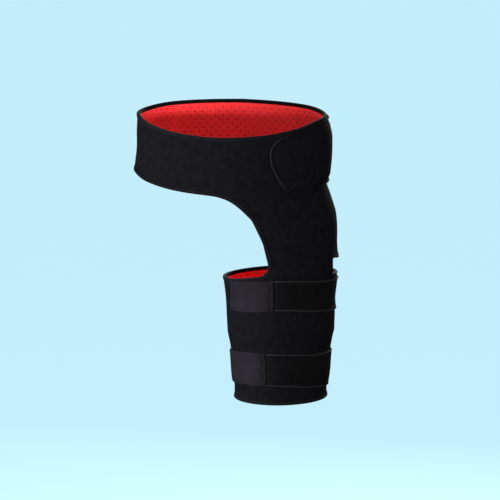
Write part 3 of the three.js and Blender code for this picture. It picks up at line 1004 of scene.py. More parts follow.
@dataclass(frozen=True)
class Finishes:
    """The brace's cloths.

    Their loops, stitches, ribs and lint are drawn coarser than the real ones, so that they show.
    """

    # Nylon loop cloth on neoprene: a soft, fuzzy black with no gloss and a few pale specks of lint. Its
    # loops are really about 0.5 mm apart.
    loop_neoprene: Cloth = Cloth("loop_faced_neoprene", "#09090b", "#0e0e10", Knit.LOOPED, 1.1 * MM,
                                 0.25 * MM, 0.9, 0.01, cloud=12 * MM, lint="#38383d")
    # Knitted jersey on the wearer's side: an even, matt red with a faint bloom. Its stitches are really
    # about 0.6 mm apart.
    jersey: Cloth = Cloth("red_jersey_lining", "#e62a2d", "#ee3134", Knit.JERSEY, 1.2 * MM, 0.08 * MM,
                          0.9, 0.45, sheen=0.08, sheen_tint="#ffb0a8")
    # Painted shade down each perforation: its walls and floor take a dark, dull red.
    hole_shade: Cloth = Cloth("painted_hole_shade", "#5c0a0e", "#701015", Knit.SMOOTH, 0.6 * MM, 0.1 * MM, 0.95)
    # Knitted nylon binding, also on the flap's cord: near black, with a lighter grey that is a painted
    # highlight along the tape's fold and at the cord's tip.
    binding: Cloth = Cloth("knitted_nylon_binding", "#09090b", "#0f1012", Knit.RIBBED, 1.4 * MM,
                           0.12 * MM, 0.85, 0.02, painted_highlight="#1b1b1f")
    # Woven elastic: lengthwise ribs, really about 0.9 mm apart, black with hardly a shine, and a lighter
    # grey at the selvedges, which is a painted highlight.
    elastic: Cloth = Cloth("woven_elastic", "#070708", "#0b0b0c", Knit.RIBBED, 1.3 * MM, 0.08 * MM, 0.8,
                           0.02, painted_highlight="#1e1e21")
    # Brushed nylon laminate on the tabs: smoother and greyer than the rest.
    laminate: Cloth = Cloth("brushed_nylon_laminate", "#0f0e11", "#151417", Knit.SMOOTH, 0.9 * MM,
                            0.06 * MM, 0.7, 0.04)
    # The same laminate folded over and sewn: its brushed face is pressed flat, so it is duller; its darker
    # colours are painted shade in the fold.
    folded: Cloth = Cloth("shaded_fold_laminate", "#0e0d10", "#121114", Knit.SMOOTH, 0.9 * MM,
                          0.06 * MM, 0.75, 0.03)
    # Polyester sewing thread: black with a small gloss.
    thread: Cloth = Cloth("polyester_thread", "#141416", "#1a1a1d", Knit.SMOOTH, 0.4 * MM, 0.03 * MM,
                          0.6, 0.12, sheen=0.02, sheen_tint="#a0a0aa")


@dataclass
class NeopreneShell:
    """The cut sheet itself: neoprene outside and perforated jersey inside."""

    thickness: float = 3.0 * MM
    lining: float = 0.75 * MM
    lining_gap: float = 0.15 * MM
    cell: float = 4.4 * MM
    hole_pitch: float = 12.8 * MM
    hole_radius: float = 1.1 * MM
    hole_depth: float = 0.6 * MM
    hole_margin: float = 6.5 * MM

    @property
    def stack(self) -> float:
        """Gives the thickness of both layers."""
        return self.thickness + self.lining_gap + self.lining

    def build(self, form: BodyForm, edges: dict[str, Edge], finishes: Finishes) -> list[bpy.types.Object]:
        """Builds the two layers.

        Args:
            form: The body's form.
            edges: The sheet's edges.
            finishes: The cloths.

        Returns:
            The neoprene and the lining.
        """
        sheet = CutSheet(form, edges)
        outer = sheet.cut(self.cell)
        area = flat_area(outer)
        thicken(outer, 0.0, -self.thickness)
        sheet.open_ends(outer)
        neoprene = finish_piece("neoprene_shell", outer, form.lay_sheet,
                                [finishes.loop_neoprene.material()], ["neoprene_panel"])
        lining = self.perforate(sheet, form, finishes)
        return [neoprene, lining]

    def perforate(self, sheet: CutSheet, form: BodyForm, finishes: Finishes) -> bpy.types.Object:
        """Builds the lining with its rows of punched holes.

        Args:
            sheet: The cut sheet.
            form: The body's form.
            finishes: The cloths.

        Returns:
            The lining.
        """
        back = -self.thickness - self.lining_gap
        face = back - self.lining
        bm = sheet.cut(self.hole_pitch / 2, self.hole_margin)
        marked = bm.verts.layers.int[HOLE]
        thicken(bm, back, face)
        sheet.open_ends(bm)
        holes = [vert for vert in bm.verts if vert[marked] and vert.co.z < (back + face) / 2]
        centres = near_tree([vert.co for vert in holes])
        made = bmesh.ops.bevel(bm, geom=holes, offset=self.hole_radius, offset_type="OFFSET",
                               segments=2, profile=0.5, affect="VERTICES", material=-1)
        lids = made["faces"]
        middle = self.hole_radius / 10
        for vert in made["verts"]:
            centre, _, distance = centres.find(vert.co)
            if distance > middle:
                vert.co = centre + (vert.co - centre).normalized() * self.hole_radius
        rims = {edge for lid in lids for edge in lid.edges
                if sum(other in lids for other in edge.link_faces) == 1}
        for edge in rims:
            edge.smooth = False
        sunk = bmesh.ops.extrude_face_region(bm, geom=lids)
        floor = [item for item in sunk["geom"] if isinstance(item, bmesh.types.BMVert)]
        bmesh.ops.delete(bm, geom=[lid for lid in lids if lid.is_valid], context="FACES")
        bmesh.ops.translate(bm, verts=floor, vec=(0, 0, self.hole_depth))
        # Each hole's walls and floor take the second material, a dark red that is painted shade.
        inside = set(floor)
        for wall in bm.faces:
            if any(vert in inside for vert in wall.verts):
                wall.material_index = 1
        return finish_piece("perforated_lining", bm, form.lay_sheet,
                            [finishes.jersey.material(), finishes.hole_shade.material()],
                            ["lining_panel"])


@dataclass
class EdgeBinding:
    """Knitted tape folded over an edge and stitched down."""

    lip: float = 4.8 * MM
    thick: float = 0.7 * MM
    puff: float = 0.16 * MM
    tuck: float = 0.3 * MM
    clear: float = 0.12 * MM
    round_past: float = 0.75 * MM
    step: float = 1.6 * MM
    stitch_at: float = 3.4 * MM
    stitch_pitch: float = 3.2 * MM
    stitch_length: float = 2.3 * MM
    thread: float = 0.28 * MM
    sink: float = 0.4
    # How the tape is folded: its cells round the fold, the share of them on each leg, and the fold's form.
    around: int = 40
    leg_share: float = 0.4
    fold_power: float = 0.8
    # How the stitches press it, where it swells between them and the fold, and where its painted highlight
    # lies.
    press: float = 0.6
    press_swing: float = 0.4
    press_width: float = 0.7 * MM
    swell_at: float = 1.4 * MM
    swell_width: float = 1.5 * MM
    lip_thin: float = 0.3
    lip_round: float = 0.12
    highlight_at: float = 1.3 * MM
    highlight_width: float = 1.1 * MM

    def tape(self, name: str, edge: Edge, shell: NeopreneShell, finishes: Finishes,
             node: str) -> bpy.types.Object:
        """Folds the tape over an edge.

        Args:
            name: The piece's name.
            edge: The edge.
            shell: The layers that it covers.
            finishes: The cloths.
            node: The node that it replaces.

        Returns:
            The tape.
        """
        mid = -shell.stack / 2
        half = shell.stack / 2 + self.clear + self.thick / 2
        bm = flat_grid(round(edge.length / self.step), self.around)
        share = coordinates(bm)
        way = share[:, 1] % 1.0
        outside = way < 0.5
        folded = np.where(outside, way * 2, 2 - way * 2)
        from_lip = np.minimum(folded, 1 - folded) / self.leg_share
        on_leg = from_lip < 1
        side = np.where(folded < 0.5, 1.0, -1.0)
        angle = np.clip((folded - self.leg_share) / (1 - 2 * self.leg_share), 0, 1) * math.pi
        over = self.round_past * np.sin(angle) ** self.fold_power
        past = np.where(on_leg, -self.lip * (1 - from_lip), over)
        out = np.where(on_leg, side * half, half * np.cos(angle))
        to_past = np.where(on_leg, 0, np.sin(angle))
        to_out = np.where(on_leg, side, np.cos(angle))
        stitches = round(edge.length / self.stitch_pitch)
        stitch = self.press - self.press_swing * np.cos(2 * math.pi * share[:, 0] * stitches)
        pressed = ridge(past, -self.stitch_at, self.press_width) * stitch
        swell = ridge(past, -self.swell_at, self.swell_width)
        face = self.thick / 2 + (self.puff * swell - self.tuck * pressed) * on_leg
        lip = from_least(self.lip_thin, round_edge(from_lip, self.lip_round))
        lift = np.where(outside, face * lip, -self.thick / 2)
        move_to(bm, np.stack([share[:, 0] * edge.length, past + to_past * lift,
                              mid + out + to_out * lift], axis=-1))
        # The tape's fold gets a painted highlight, a lighter grey.
        return finish_piece(name, bm, edge.lay, [finishes.binding.material()], [node],
                            painted_highlight=lambda flat: ridge(flat[:, 1], self.highlight_at, self.highlight_width))

    def stitching(self, name: str, edges: Sequence[Edge], shell: NeopreneShell,
                  finishes: Finishes) -> list[bpy.types.Object]:
        """Sews a row of stitches through the tape on both faces.

        Args:
            name: Start of the pieces' names.
            edges: The bound edges.
            shell: The layers that the tape covers.
            finishes: The cloths.

        Returns:
            A piece for each edge.
        """
        front = self.clear + self.thick - self.tuck * self.sink
        made = []
        material = finishes.thread.material()
        for i, edge in enumerate(edges):
            count = round(edge.length / self.stitch_pitch)
            places = [((k + 0.5) * edge.length / count, -self.stitch_at, height, 0.0)
                      for k in range(count) for height in (front, -shell.stack - front)]
            bm = bmesh.new()
            add_capsules(bm, places, self.stitch_length, self.thread)
            made.append(finish_piece(f"{name}_{i + 1}", bm, edge.lay, [material], merge=0.0))
        return made


class FlapRow(NamedTuple):
    """A level of the flap's rounded end: a share of its height, and of the span behind its tip."""

    down: float
    back: float


@dataclass
class WaistFlap:
    """The closing flap: a padded neoprene end with a corded edge, held by a hook patch."""

    form: BodyForm
    height: float = 0.096
    below_rim: float = 4.5 * MM
    tip: float = -45.7
    span: float = 17.0
    root: float = 75.0
    thick: float = 4.0 * MM
    bulge: float = 4.0 * MM
    rest: float = 0.9 * MM
    # The cord round the free edge, pointed at its ends, with a painted highlight at the flap's tip.
    cord: float = 2.4 * MM
    cord_gap: float = -0.5 * MM
    cord_step: float = 1.8 * MM
    cord_around: int = 12
    cord_oval: float = 1.25
    cord_point: float = 0.02
    cord_taper: float = 1.5 * MM
    wear: float = 0.9
    highlight_reach: tuple[float, float] = (13.0, 6.0)
    # The pad, which thins towards its free edge and its root.
    columns: int = 90
    rows: int = 48
    closer_at_tip: float = 1.4
    edge_thin: float = 0.42
    edge_rise: tuple[float, float] = (1.5 * MM, 11 * MM)
    root_press: Press = Press(0.45, 7 * MM)
    under_lift: float = 0.25
    under_reach: float = 2 * MM
    # The hook patch, and the two stitched rows at the root: how far back each is, and how high it stands.
    patch_tip: float = -40.0
    patch_span: float = 22.0
    patch_down: float = 0.2
    patch_height: float = 0.48
    patch_faces: tuple[float, float] = (1.4 * MM, 0.5 * MM)
    stitch_rows: tuple[tuple[float, float], ...] = ((3.5 * MM, 2.5 * MM), (7.5 * MM, 3.9 * MM))
    stitch_margin: float = 4 * MM
    stitch_pitch: float = 3.2 * MM
    stitch_length: float = 2.3 * MM
    thread: float = 0.3 * MM
    # The rounded end's outline, and how far the flap stands off from its top down and from its tip back.
    end_rows: tuple[FlapRow, ...] = (
        FlapRow(0, 1),
        FlapRow(0.025, 0.62),
        FlapRow(0.06, 0.34),
        FlapRow(0.11, 0.15),
        FlapRow(0.19, 0.03),
        FlapRow(0.3, 0),
        FlapRow(0.42, 0.04),
        FlapRow(0.55, 0.17),
        FlapRow(0.69, 0.36),
        FlapRow(0.81, 0.55),
        FlapRow(0.9, 0.72),
        FlapRow(0.965, 0.9),
        FlapRow(0.99, 1.05),
        FlapRow(1, 1.25),
    )
    stand_down: tuple[Row, ...] = (Row(0, 0), Row(0.12, 0.3), Row(0.3, 0.9), Row(0.6, 0.8), Row(0.85, 0.5),
                                   Row(1, 0.3))
    stand_back: tuple[Row, ...] = (Row(0, 0.1), Row(0.15, 0.75), Row(0.35, 1), Row(0.75, 0.9), Row(1, 0))

    def __post_init__(self) -> None:
        """Makes the flap's curves and its edge."""
        self.back_at = Curve(self.end_rows)
        self.down_at = Curve(self.stand_down)
        self.along_at = Curve(self.stand_back)
        self.metres = float(self.form.girth(np.array([0.0]))[0]) / 360
        downs = (1 - np.cos(np.linspace(0, math.pi, 90))) / 2
        ends = self.tip + self.back_at(downs) * self.span
        top = np.arange(self.root, ends[0], -1.0)
        bottom = np.arange(ends[-1], self.root, 1.0)[1:]
        turns = np.concatenate([top, ends, bottom])
        levels = np.concatenate([np.zeros(len(top)), downs, np.ones(len(bottom))])
        self.edge = Edge(self.form, turns, self.level(turns, levels), closed=False)
        self.edge_flat = np.stack([turns * self.metres, -levels * self.height], axis=-1)
        self.near = near_tree(self.edge_flat)

    def level(self, turn: np.ndarray, down: np.ndarray) -> np.ndarray:
        """Gives heights on the body from shares down the flap."""
        return self.form.rim(turn) - self.below_rim - down * self.height

    def stand(self, turn: np.ndarray, down: np.ndarray) -> np.ndarray:
        """Gives how far the flap's inner face stands off."""
        from_tip = (turn - self.tip) / (self.root - self.tip)
        return self.rest + self.bulge * self.down_at(down) * self.along_at(from_tip)

    def lay(self, flat: np.ndarray) -> np.ndarray:
        """Lays the flat flap over the band.

        Args:
            flat: Points in the flat.

        Returns:
            Their places.
        """
        turn = flat[:, 0] / self.metres
        down = -flat[:, 1] / self.height
        return self.form.place(turn, self.level(turn, down), self.stand(turn, down) + flat[:, 2])

    def lay_patch(self, flat: np.ndarray) -> np.ndarray:
        """Lays the hook patch flat on the neoprene."""
        turn = flat[:, 0] / self.metres
        return self.form.place(turn, self.level(turn, -flat[:, 1] / self.height), flat[:, 2])

    def inside(self, flat: np.ndarray) -> np.ndarray:
        """Gives the distance of flat points from the flap's free edge."""
        return np.array([self.near.find((x, y, 0))[2] for x, y, _ in flat])

    def build(self, finishes: Finishes) -> list[bpy.types.Object]:
        """Builds the pad, its cord, its hook patch and its stitches.

        Args:
            finishes: The cloths.

        Returns:
            The pieces.
        """
        bm = flat_grid(self.columns, self.rows)
        share = coordinates(bm)
        down = (1 - np.cos(math.pi * share[:, 1])) / 2
        first = (self.tip + self.back_at(down) * self.span) * self.metres
        along = share[:, 0] ** self.closer_at_tip
        x = first + (self.root * self.metres - first) * along
        move_to(bm, np.stack([x, -down * self.height, np.zeros(len(x))], axis=-1))
        area = flat_area(bm)
        thicken(bm, self.top_face, self.bottom_face)
        pad = finish_piece("flap_pad", bm, self.lay, [finishes.loop_neoprene.material()],
                           ["waist_flap"])
        return [pad, self.corded_edge(finishes), self.patch(finishes), self.stitches(finishes)]

    def stitches(self, finishes: Finishes) -> bpy.types.Object:
        """Sews the flap's root to the band with two rows.

        Args:
            finishes: The cloths.

        Returns:
            The stitches.
        """
        bm = bmesh.new()
        right = self.root * self.metres
        places = []
        for back, stand in self.stitch_rows:
            places += stitch_line((right - back, -self.stitch_margin),
                                  (right - back, self.stitch_margin - self.height),
                                  self.stitch_pitch, stand)
        add_capsules(bm, places, self.stitch_length, self.thread)
        return finish_piece("flap_stitches", bm, self.lay, [finishes.thread.material()],
                            merge=0.0)

    def top_face(self, flat: np.ndarray) -> np.ndarray:
        """Gives the height of the pad's outer face over its inner one.

        Args:
            flat: Points in the flat.

        Returns:
            A height for each point.
        """
        full = smooth_step(*self.edge_rise, self.inside(flat))
        from_root = np.abs(self.root * self.metres - flat[:, 0])
        return self.thick * from_least(self.edge_thin, full) * self.root_press.at(from_root)

    def bottom_face(self, flat: np.ndarray) -> np.ndarray:
        """Gives the height of the pad's inner face."""
        return self.under_lift * self.thick * np.exp(-self.inside(flat) / self.under_reach)

    def corded_edge(self, finishes: Finishes) -> bpy.types.Object:
        """Runs the cord round the flap's free edge.

        Args:
            finishes: The cloths.

        Returns:
            The cord.
        """
        bm = flat_grid(round(self.edge.length / self.cord_step), self.cord_around)
        share = coordinates(bm)
        x = share[:, 0] * self.edge.length
        angle = -share[:, 1] * 2 * math.pi
        ends = np.minimum(x, self.edge.length - x)
        turn, _ = self.edge.where(x)
        down = np.interp(x, self.edge.at, -self.edge_flat[:, 1] / self.height)
        middle = self.stand(turn, down) + self.thick / 2
        radius = self.cord / 2 * from_least(self.cord_point, round_edge(ends, self.cord_taper))
        y = self.cord_gap + self.cord / 2 + radius * np.sin(angle)
        z = middle + self.cord_oval * radius * np.cos(angle)
        move_to(bm, np.stack([x, y, z], axis=-1))
        # The cord is lighter at the flap's tip: a painted highlight.
        return finish_piece("flap_cord", bm, self.edge.lay, [finishes.binding.material()],
                            ["flap_piping"], merge=5e-5, painted_highlight=self.painted_tip_highlight)

    def painted_tip_highlight(self, flat: np.ndarray) -> np.ndarray:
        """Gives the cord's painted highlight, which is at the flap's rounded end."""
        start, full = self.highlight_reach
        return self.wear * smooth_step(self.tip + start, self.tip + full, self.edge.where(flat[:, 0])[0])

    def patch(self, finishes: Finishes) -> bpy.types.Object:
        """Lays the hook patch on the band under the flap's end.

        Args:
            finishes: The cloths.

        Returns:
            The patch.
        """
        bm = flat_grid(24, 40)
        share = coordinates(bm)
        x = (self.patch_tip + self.patch_span * share[:, 0]) * self.metres
        down = self.patch_down + self.patch_height * share[:, 1]
        move_to(bm, np.stack([x, -down * self.height, 0 * x], axis=-1))
        thicken(bm, *self.patch_faces)
        return finish_piece("hook_patch", bm, self.lay_patch, [finishes.laminate.material()],
                            ["flap_hook_patch"])


@dataclass
class ThighStrap:
    """A woven elastic strap round the thigh, folded and sewn into a smooth tab."""

    form: BodyForm
    name: str
    width: float
    below_rim: float
    seam: float
    tip: float
    bow: float
    crumple: float
    sag: float
    tilt: float = 0.0
    slack: float = 0.0
    slant: float = 0.0
    # How the strap lies: its bow, its drop towards the outer side, its slack, and its rise over the tape.
    bow_turn: float = -58.0
    bow_reach: float = 30.0
    drop_lead: float = 10.0
    drop_end: float = 25.0
    slack_reach: tuple[float, float] = (38.0, 14.0)
    spread: float = 0.05
    root: float = 62.0
    rest: float = 0.35 * MM
    over_tape: float = 1.15 * MM
    tape_reach: tuple[float, float] = (4 * MM, 14 * MM)
    finer_across: float = 1.5
    # The elastic, with its rolled selvedges and the seams that press and gather it.
    elastic: float = 2.0 * MM
    elastic_cell: float = 2.2 * MM
    selvedge: float = 0.5 * MM
    selvedge_at: float = 1.4 * MM
    selvedge_round: float = 0.9 * MM
    # Where the painted highlight lies along each selvedge, and how wide it is.
    highlight_at: float = 1.6 * MM
    highlight_width: float = 1.1 * MM
    side_thin: float = 0.35
    elastic_at_fold: Press = Press(0.45, 4 * MM)
    elastic_at_root: Press = Press(0.55, 5 * MM)
    elastic_gather: Gather = Gather(7 * MM, 8 * MM)
    # The tab.
    tab: float = 1.7 * MM
    tab_cell: float = 1.6 * MM
    tab_round: float = 1.1 * MM
    tab_at_fold: Press = Press(0.5, 7 * MM)
    tab_gather: Gather = Gather(6.5 * MM, 9 * MM)
    # The tab's folded end.
    fold: float = 6.5 * MM
    fold_thick: float = 2.4 * MM
    fold_cell: float = 0.65 * MM
    fold_thin: float = 0.3
    fold_squareness: float = 3.0
    fold_round: float = 1.2 * MM
    fold_wave: float = 8 * MM
    fold_wander: float = 21 * MM
    # The gap between the pieces, the tab's corners, and how the elastic is tucked in under the fold.
    joint: float = 0.25 * MM
    corner: float = 5.5 * MM
    tuck: float = 0.8 * MM
    tuck_length: float = 9.0 * MM
    # The stitches, and how far from the root the two ends of the sewn box lie.
    stitch_pitch: float = 3.0 * MM
    stitch_share: float = 0.7
    stitch_sink: float = 0.3
    stitch_margin: float = 3 * MM
    box: tuple[float, float] = (4 * MM, 22 * MM)
    thread: float = 0.26 * MM

    def __post_init__(self) -> None:
        """Works out the strap's scale round the thigh and where its pieces meet."""
        middle = -self.form.hip_drop - self.below_rim - self.width / 2
        self.metres = float(self.form.girth(np.array([middle]))[0]) / 360
        self.seam_x, self.tip_x, self.root_x = (
            turn * self.metres for turn in (self.seam, self.tip, self.root))
        self.tab_x = self.seam_x - self.fold

    def lay(self, flat: np.ndarray) -> np.ndarray:
        """Lays a flat piece of the strap on the wrap, and over the tape where it reaches it.

        Args:
            flat: Points in the flat.

        Returns:
            Their places.
        """
        turn = flat[:, 0] / self.metres
        top = self.form.thigh_rim(turn) - self.below_rim - self.tilt * np.cos(np.radians(turn))
        bow = self.bow * ridge(turn, self.bow_turn, self.bow_reach)
        drop = smooth_step(self.seam - self.drop_lead, self.drop_end, turn)
        height = top + bow - self.sag * drop + flat[:, 1] * (1 + self.spread * drop)
        over = 1 - smooth_step(*self.tape_reach, self.form.wrap_edge(turn) - height)
        start, full = self.slack_reach
        loose = self.slack * smooth_step(self.tip + start, self.tip + full, turn)
        return self.form.place(turn, height, self.rest + self.over_tape * over + loose + flat[:, 2])

    def strip(self, left: float, right: float, cell: float) -> bmesh.types.BMesh:
        """Cuts a flat strip of the strap's width, with finer cells at its long sides.

        Args:
            left: Where it starts.
            right: Where it ends.
            cell: Length of a cell.

        Returns:
            The strip.
        """
        bm = flat_grid(round((right - left) / cell), round(self.width / cell * self.finer_across))
        share = coordinates(bm)
        across = (1 - np.cos(math.pi * share[:, 1])) / 2
        x = left + (right - left) * share[:, 0]
        move_to(bm, np.stack([x, -self.width * across, np.zeros(len(x))], axis=-1))
        return bm

    def from_side(self, flat: np.ndarray) -> np.ndarray:
        """Gives the distance from the nearer long side."""
        return np.minimum(-flat[:, 1], self.width + flat[:, 1])

    def build(self, finishes: Finishes) -> list[bpy.types.Object]:
        """Builds the elastic, the fold, the tab and the stitches.

        Args:
            finishes: The cloths.

        Returns:
            The pieces.
        """
        fold = self.build_fold(finishes)
        return [self.build_elastic(finishes), fold, self.build_tab(finishes),
                self.build_stitches(finishes)]

    def build_elastic(self, finishes: Finishes) -> bpy.types.Object:
        """Builds the elastic: rolled selvedges, narrowed where it is tucked in, flat at its root.

        Args:
            finishes: The cloths.

        Returns:
            The elastic.
        """
        start = self.seam_x + self.joint
        bm = self.strip(start, self.root_x, self.elastic_cell)
        area = flat_area(bm)

        def thickness(flat: np.ndarray) -> np.ndarray:
            """Gives the elastic's thickness.

            Args:
                flat: Points in the flat.

            Returns:
                A thickness for each point.
            """
            side = self.from_side(flat)
            from_fold, from_root = flat[:, 0] - start, self.root_x - flat[:, 0]
            bead = self.selvedge * ridge(side, self.selvedge_at, self.selvedge_round)
            thick = self.elastic * self.elastic_at_fold.at(from_fold) * self.elastic_at_root.at(from_root)
            rounded = from_least(self.side_thin, round_edge(side, self.selvedge_round))
            return (thick + bead) * rounded + self.crumple * self.elastic_gather.at(flat[:, 1], from_fold)

        thicken(bm, thickness, 0.0)
        flat = coordinates(bm)
        narrow = 1 - 2 * self.tuck / self.width * np.exp(-(flat[:, 0] - start) / self.tuck_length)
        flat[:, 1] = -self.width / 2 + (flat[:, 1] + self.width / 2) * narrow
        move_to(bm, flat)
        # The selvedges take a lighter grey, which is a painted highlight.
        piece = finish_piece(
            f"{self.name}_elastic", bm, self.lay, [finishes.elastic.material()],
            [f"{self.name}_strap"],
            painted_highlight=lambda flat: ridge(self.from_side(flat), self.highlight_at, self.highlight_width))
        return piece

    def build_fold(self, finishes: Finishes) -> bpy.types.Object:
        """Builds the tab's end, which is folded over the elastic's end and sewn.

        Args:
            finishes: The cloths.

        Returns:
            The fold.
        """
        left, right = self.tab_x, self.seam_x
        bm = self.strip(left, right, self.fold_cell)

        def thickness(flat: np.ndarray) -> np.ndarray:
            """Gives the fold's thickness: a pillow with round ends and small waves.

            Args:
                flat: Points in the flat.

            Returns:
                A thickness for each point.
            """
            off = np.abs(2 * (flat[:, 0] - left) / (right - left) - 1)
            pillow = np.sqrt(np.clip(1 - off ** self.fold_squareness, 0, 1))
            ends = round_edge(self.from_side(flat), self.fold_round)
            waves = self.crumple * np.cos(2 * math.pi * flat[:, 1] / self.fold_wave + 1)
            body = from_least(self.fold_thin, pillow) * from_least(self.fold_thin, ends)
            return self.fold_thick * body + waves * pillow

        thicken(bm, thickness, 0.0)
        flat = coordinates(bm)
        flat[:, 0] += self.crumple * 2 * np.sin(2 * math.pi * flat[:, 1] / self.fold_wander)
        move_to(bm, flat)
        # The fold is a little darker than the tab: painted shade in the fold.
        return finish_piece(f"{self.name}_fold", bm, self.lay, [finishes.folded.material()],
                            [f"{self.name}_strap_tab"])

    def end_cut(self, flat: np.ndarray) -> np.ndarray:
        """Gives how far the tab's rounded, slanted end lies back from its tip.

        Args:
            flat: Points in the flat.

        Returns:
            A length for each point's level.
        """
        past = np.clip(self.corner - self.from_side(flat), 0, None) / self.corner
        corner = self.corner * (1 - np.sqrt(np.clip(1 - past * past, 0, 1)))
        return corner + self.slant * (1 + flat[:, 1] / self.width)

    def build_tab(self, finishes: Finishes) -> bpy.types.Object:
        """Builds the tab with its two rounded corners.

        Args:
            finishes: The cloths.

        Returns:
            The tab.
        """
        right = self.tab_x - self.joint
        bm = self.strip(self.tip_x, right, self.tab_cell)
        flat = coordinates(bm)
        cut = self.end_cut(flat)
        share = (flat[:, 0] - self.tip_x) / (right - self.tip_x)
        flat[:, 0] = self.tip_x + cut + (right - self.tip_x - cut) * share
        move_to(bm, flat)
        area = flat_area(bm)

        def thickness(flat: np.ndarray) -> np.ndarray:
            """Gives the tab's thickness: soft at its edges, with a dip at the seam.

            Args:
                flat: Points in the flat.

            Returns:
                A thickness for each point.
            """
            edge = np.minimum(self.from_side(flat), flat[:, 0] - self.tip_x - self.end_cut(flat))
            back = right - flat[:, 0]
            soft = from_least(self.side_thin, round_edge(edge, self.tab_round))
            gather = self.crumple * self.tab_gather.at(flat[:, 1], back)
            return self.tab * soft * self.tab_at_fold.at(back) + gather

        thicken(bm, thickness, 0.0)
        tab = finish_piece(f"{self.name}_tab", bm, self.lay, [finishes.laminate.material()],
                           [f"{self.name}_strap_tab"])
        return tab

    def build_stitches(self, finishes: Finishes) -> bpy.types.Object:
        """Sews the fold with one row and the root with a crossed box.

        Args:
            finishes: The cloths.

        Returns:
            The stitches.
        """
        x = self.seam_x - self.fold / 2
        top, low = -self.stitch_margin, self.stitch_margin - self.width
        near, far = (self.root_x - back for back in self.box)
        places = stitch_line((x, top), (x, low), self.stitch_pitch,
                             self.fold_thick - self.thread * self.stitch_sink)
        corners = [(near, top), (far, top), (far, low), (near, low)]
        rows = list(zip(corners, corners[1:] + corners[:1]))
        rows += [(corners[0], corners[2]), (corners[1], corners[3])]
        for start, end in rows:
            places += stitch_line(start, end, self.stitch_pitch, self.elastic)
        bm = bmesh.new()
        add_capsules(bm, places, self.stitch_pitch * self.stitch_share, self.thread)
        return finish_piece(f"{self.name}_stitches", bm, self.lay, [finishes.thread.material()],
                            merge=0.0)


def direction(azimuth: float, elevation: float) -> Vector:
    """Gives the way from the brace to a place round it.

    Args:
        azimuth: Degrees round from the front.
        elevation: Degrees above level.

    Returns:
        A vector of length 1.
    """
    a, e = math.radians(azimuth), math.radians(elevation)
    return Vector((math.sin(a) * math.cos(e), -math.cos(a) * math.cos(e), math.sin(e)))


def aim(thing: bpy.types.Object, target: Vector, way: Vector, distance: float) -> None:
    """Sets a camera or a lamp up so that it looks at the brace.

    Args:
        thing: The camera or lamp.
        target: What it looks at.
        way: The way from the target to it.
        distance: Its distance from the target.
    """
    thing.location = target + way * distance
    thing.rotation_mode = "QUATERNION"
    thing.rotation_quaternion = (-way).to_track_quat("-Z", "Y")
    bpy.context.scene.collection.objects.link(thing)


class Lamp(NamedTuple):
    """A soft lamp, whose turn is counted from the camera's.

    Its rise is how far over the brace's middle it points, and its level how bright a white card looks there.
    """

    name: str
    azimuth: float
    elevation: float
    distance: float
    width: float
    height: float
    level: float
    rise: float
    colour: str


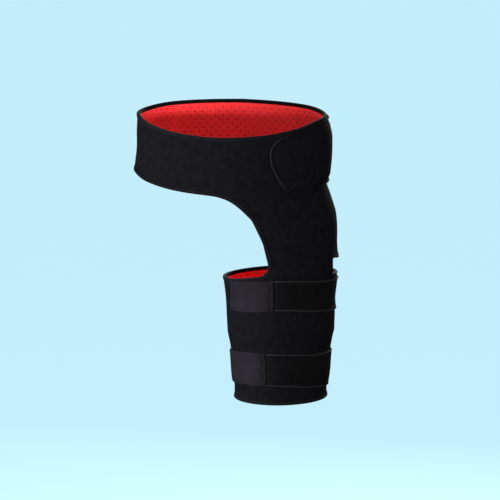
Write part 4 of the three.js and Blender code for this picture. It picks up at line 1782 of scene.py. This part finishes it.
@dataclass
class Studio:
    """The floor, the lights and the camera."""

    azimuth: float = 25.0
    elevation: float = 9.0
    distance: float = 5.0
    target: tuple[float, float, float] = (0.0263, 0.0123, -0.1618)
    lens: float = 229.3
    floor_drop: float = 0.7
    floor_radius: float = 40.0
    floor_colour: str = "#c0e9f8"
    floor_shade: str = "#5b7078"
    floor_glow: float = 0.91
    sky_colour: str = "#fdfbf8"
    sky_low: float = 0.12
    sky_high: float = 0.8
    lamps: tuple[Lamp, ...] = (
        Lamp("front_light", 9, -2, 2.4, 2.4, 0.12, 1.15, 0.19, "#fffdfb"),
        Lamp("key_light", -72, -2, 2.4, 1.0, 0.35, 2.6, 0.03, "#f3f0ff"),
        Lamp("back_light", 165, 15, 2.5, 1.2, 1.0, 1.1, 0.0, "#ffffff"),
    )

    def build(self, form: BodyForm) -> None:
        """Sets up the studio.

        Args:
            form: The body's form.
        """
        scene = bpy.context.scene
        scene.view_settings.view_transform = "Standard"
        camera = bpy.data.objects.new("camera", bpy.data.cameras.new("camera"))
        camera.data.lens = self.lens
        camera.data.sensor_width = 36.0
        camera.data.clip_end = 200
        aim(camera, Vector(self.target), direction(self.azimuth, self.elevation), self.distance)
        scene.camera = camera
        self.floor(form)
        self.lights()
        self.sky()

    def floor(self, form: BodyForm) -> None:
        """Lays the pale floor.

        Args:
            form: The body's form, whose hem it lies well below.
        """
        bm = bmesh.new()
        place = Matrix.Translation((0, 0, form.hem - self.floor_drop))
        bmesh.ops.create_circle(bm, cap_ends=True, segments=96, radius=self.floor_radius, matrix=place)
        # Matt vinyl sheet over a light table: one pale blue all over, with no pool of light.
        material = bpy.data.materials.new("matt_vinyl_floor")
        material.use_nodes = True
        shader = material.node_tree.nodes["Principled BSDF"]
        shader.inputs["Base Color"].default_value = linear(self.floor_shade)
        shader.inputs["Roughness"].default_value = 0.9
        shader.inputs["Specular IOR Level"].default_value = 0.1
        shader.inputs["Emission Color"].default_value = linear(self.floor_colour)
        shader.inputs["Emission Strength"].default_value = self.floor_glow
        floor = add_object("studio_floor", bm, [material])
        floor.visible_diffuse = False
        floor.visible_glossy = False

    def lights(self) -> None:
        """Places the soft lights round the brace."""
        for lamp in self.lamps:
            data = bpy.data.lights.new(lamp.name, "AREA")
            data.shape = "RECTANGLE"
            data.size, data.size_y = lamp.width, lamp.height
            data.energy = lamp.level * (math.pi * lamp.distance) ** 2
            data.color = linear(lamp.colour)[:3]
            aim(bpy.data.objects.new(lamp.name, data), Vector(self.target) + Vector((0, 0, lamp.rise)),
                direction(self.azimuth + lamp.azimuth, lamp.elevation), lamp.distance)

    def sky(self) -> None:
        """Fills the room with soft light, a little more from above."""
        world = bpy.data.worlds.new("studio")
        world.use_nodes = True
        bpy.context.scene.world = world
        tree = world.node_tree
        place = add_node(tree, "ShaderNodeTexCoord")
        height = add_node(tree, "ShaderNodeSeparateXYZ", inputs={"Vector": place.outputs["Generated"]})
        level = add_node(tree, "ShaderNodeMapRange", inputs={
            "Value": height.outputs["Z"], "From Min": -0.2, "From Max": 1.0,
            "To Min": self.sky_low, "To Max": self.sky_high})
        shade = tree.nodes["Background"]
        tree.links.new(level.outputs["Result"], shade.inputs["Strength"])
        shade.inputs["Color"].default_value = linear(self.sky_colour)


def main() -> None:
    """Builds the brace and its studio."""
    logging.basicConfig(level=logging.INFO, format="%(message)s")
    form = BodyForm()
    Studio().build(form)
    edges = sheet_edges(form)
    finishes = Finishes()
    shell = NeopreneShell()
    shell.build(form, edges, finishes)
    binding = EdgeBinding()
    for key, edge in edges.items():
        binding.tape(f"{key}_tape", edge, shell, finishes, f"{key}_binding")
    binding.stitching("tape_stitches", list(edges.values()), shell, finishes)
    WaistFlap(form).build(finishes)
    upper = ThighStrap(form, "upper", width=49 * MM, below_rim=0.5 * MM, seam=-70, tip=-128, bow=3 * MM,
                       crumple=0.15 * MM, sag=6.5 * MM, slant=8 * MM)
    lower = ThighStrap(form, "lower", width=53 * MM, below_rim=113 * MM, seam=-80, tip=-141, bow=1 * MM,
                       crumple=0.3 * MM, sag=7 * MM, tilt=2.5 * MM, slack=2 * MM)
    for strap in (upper, lower):
        strap.build(finishes)


if __name__ == "__main__":
    main()
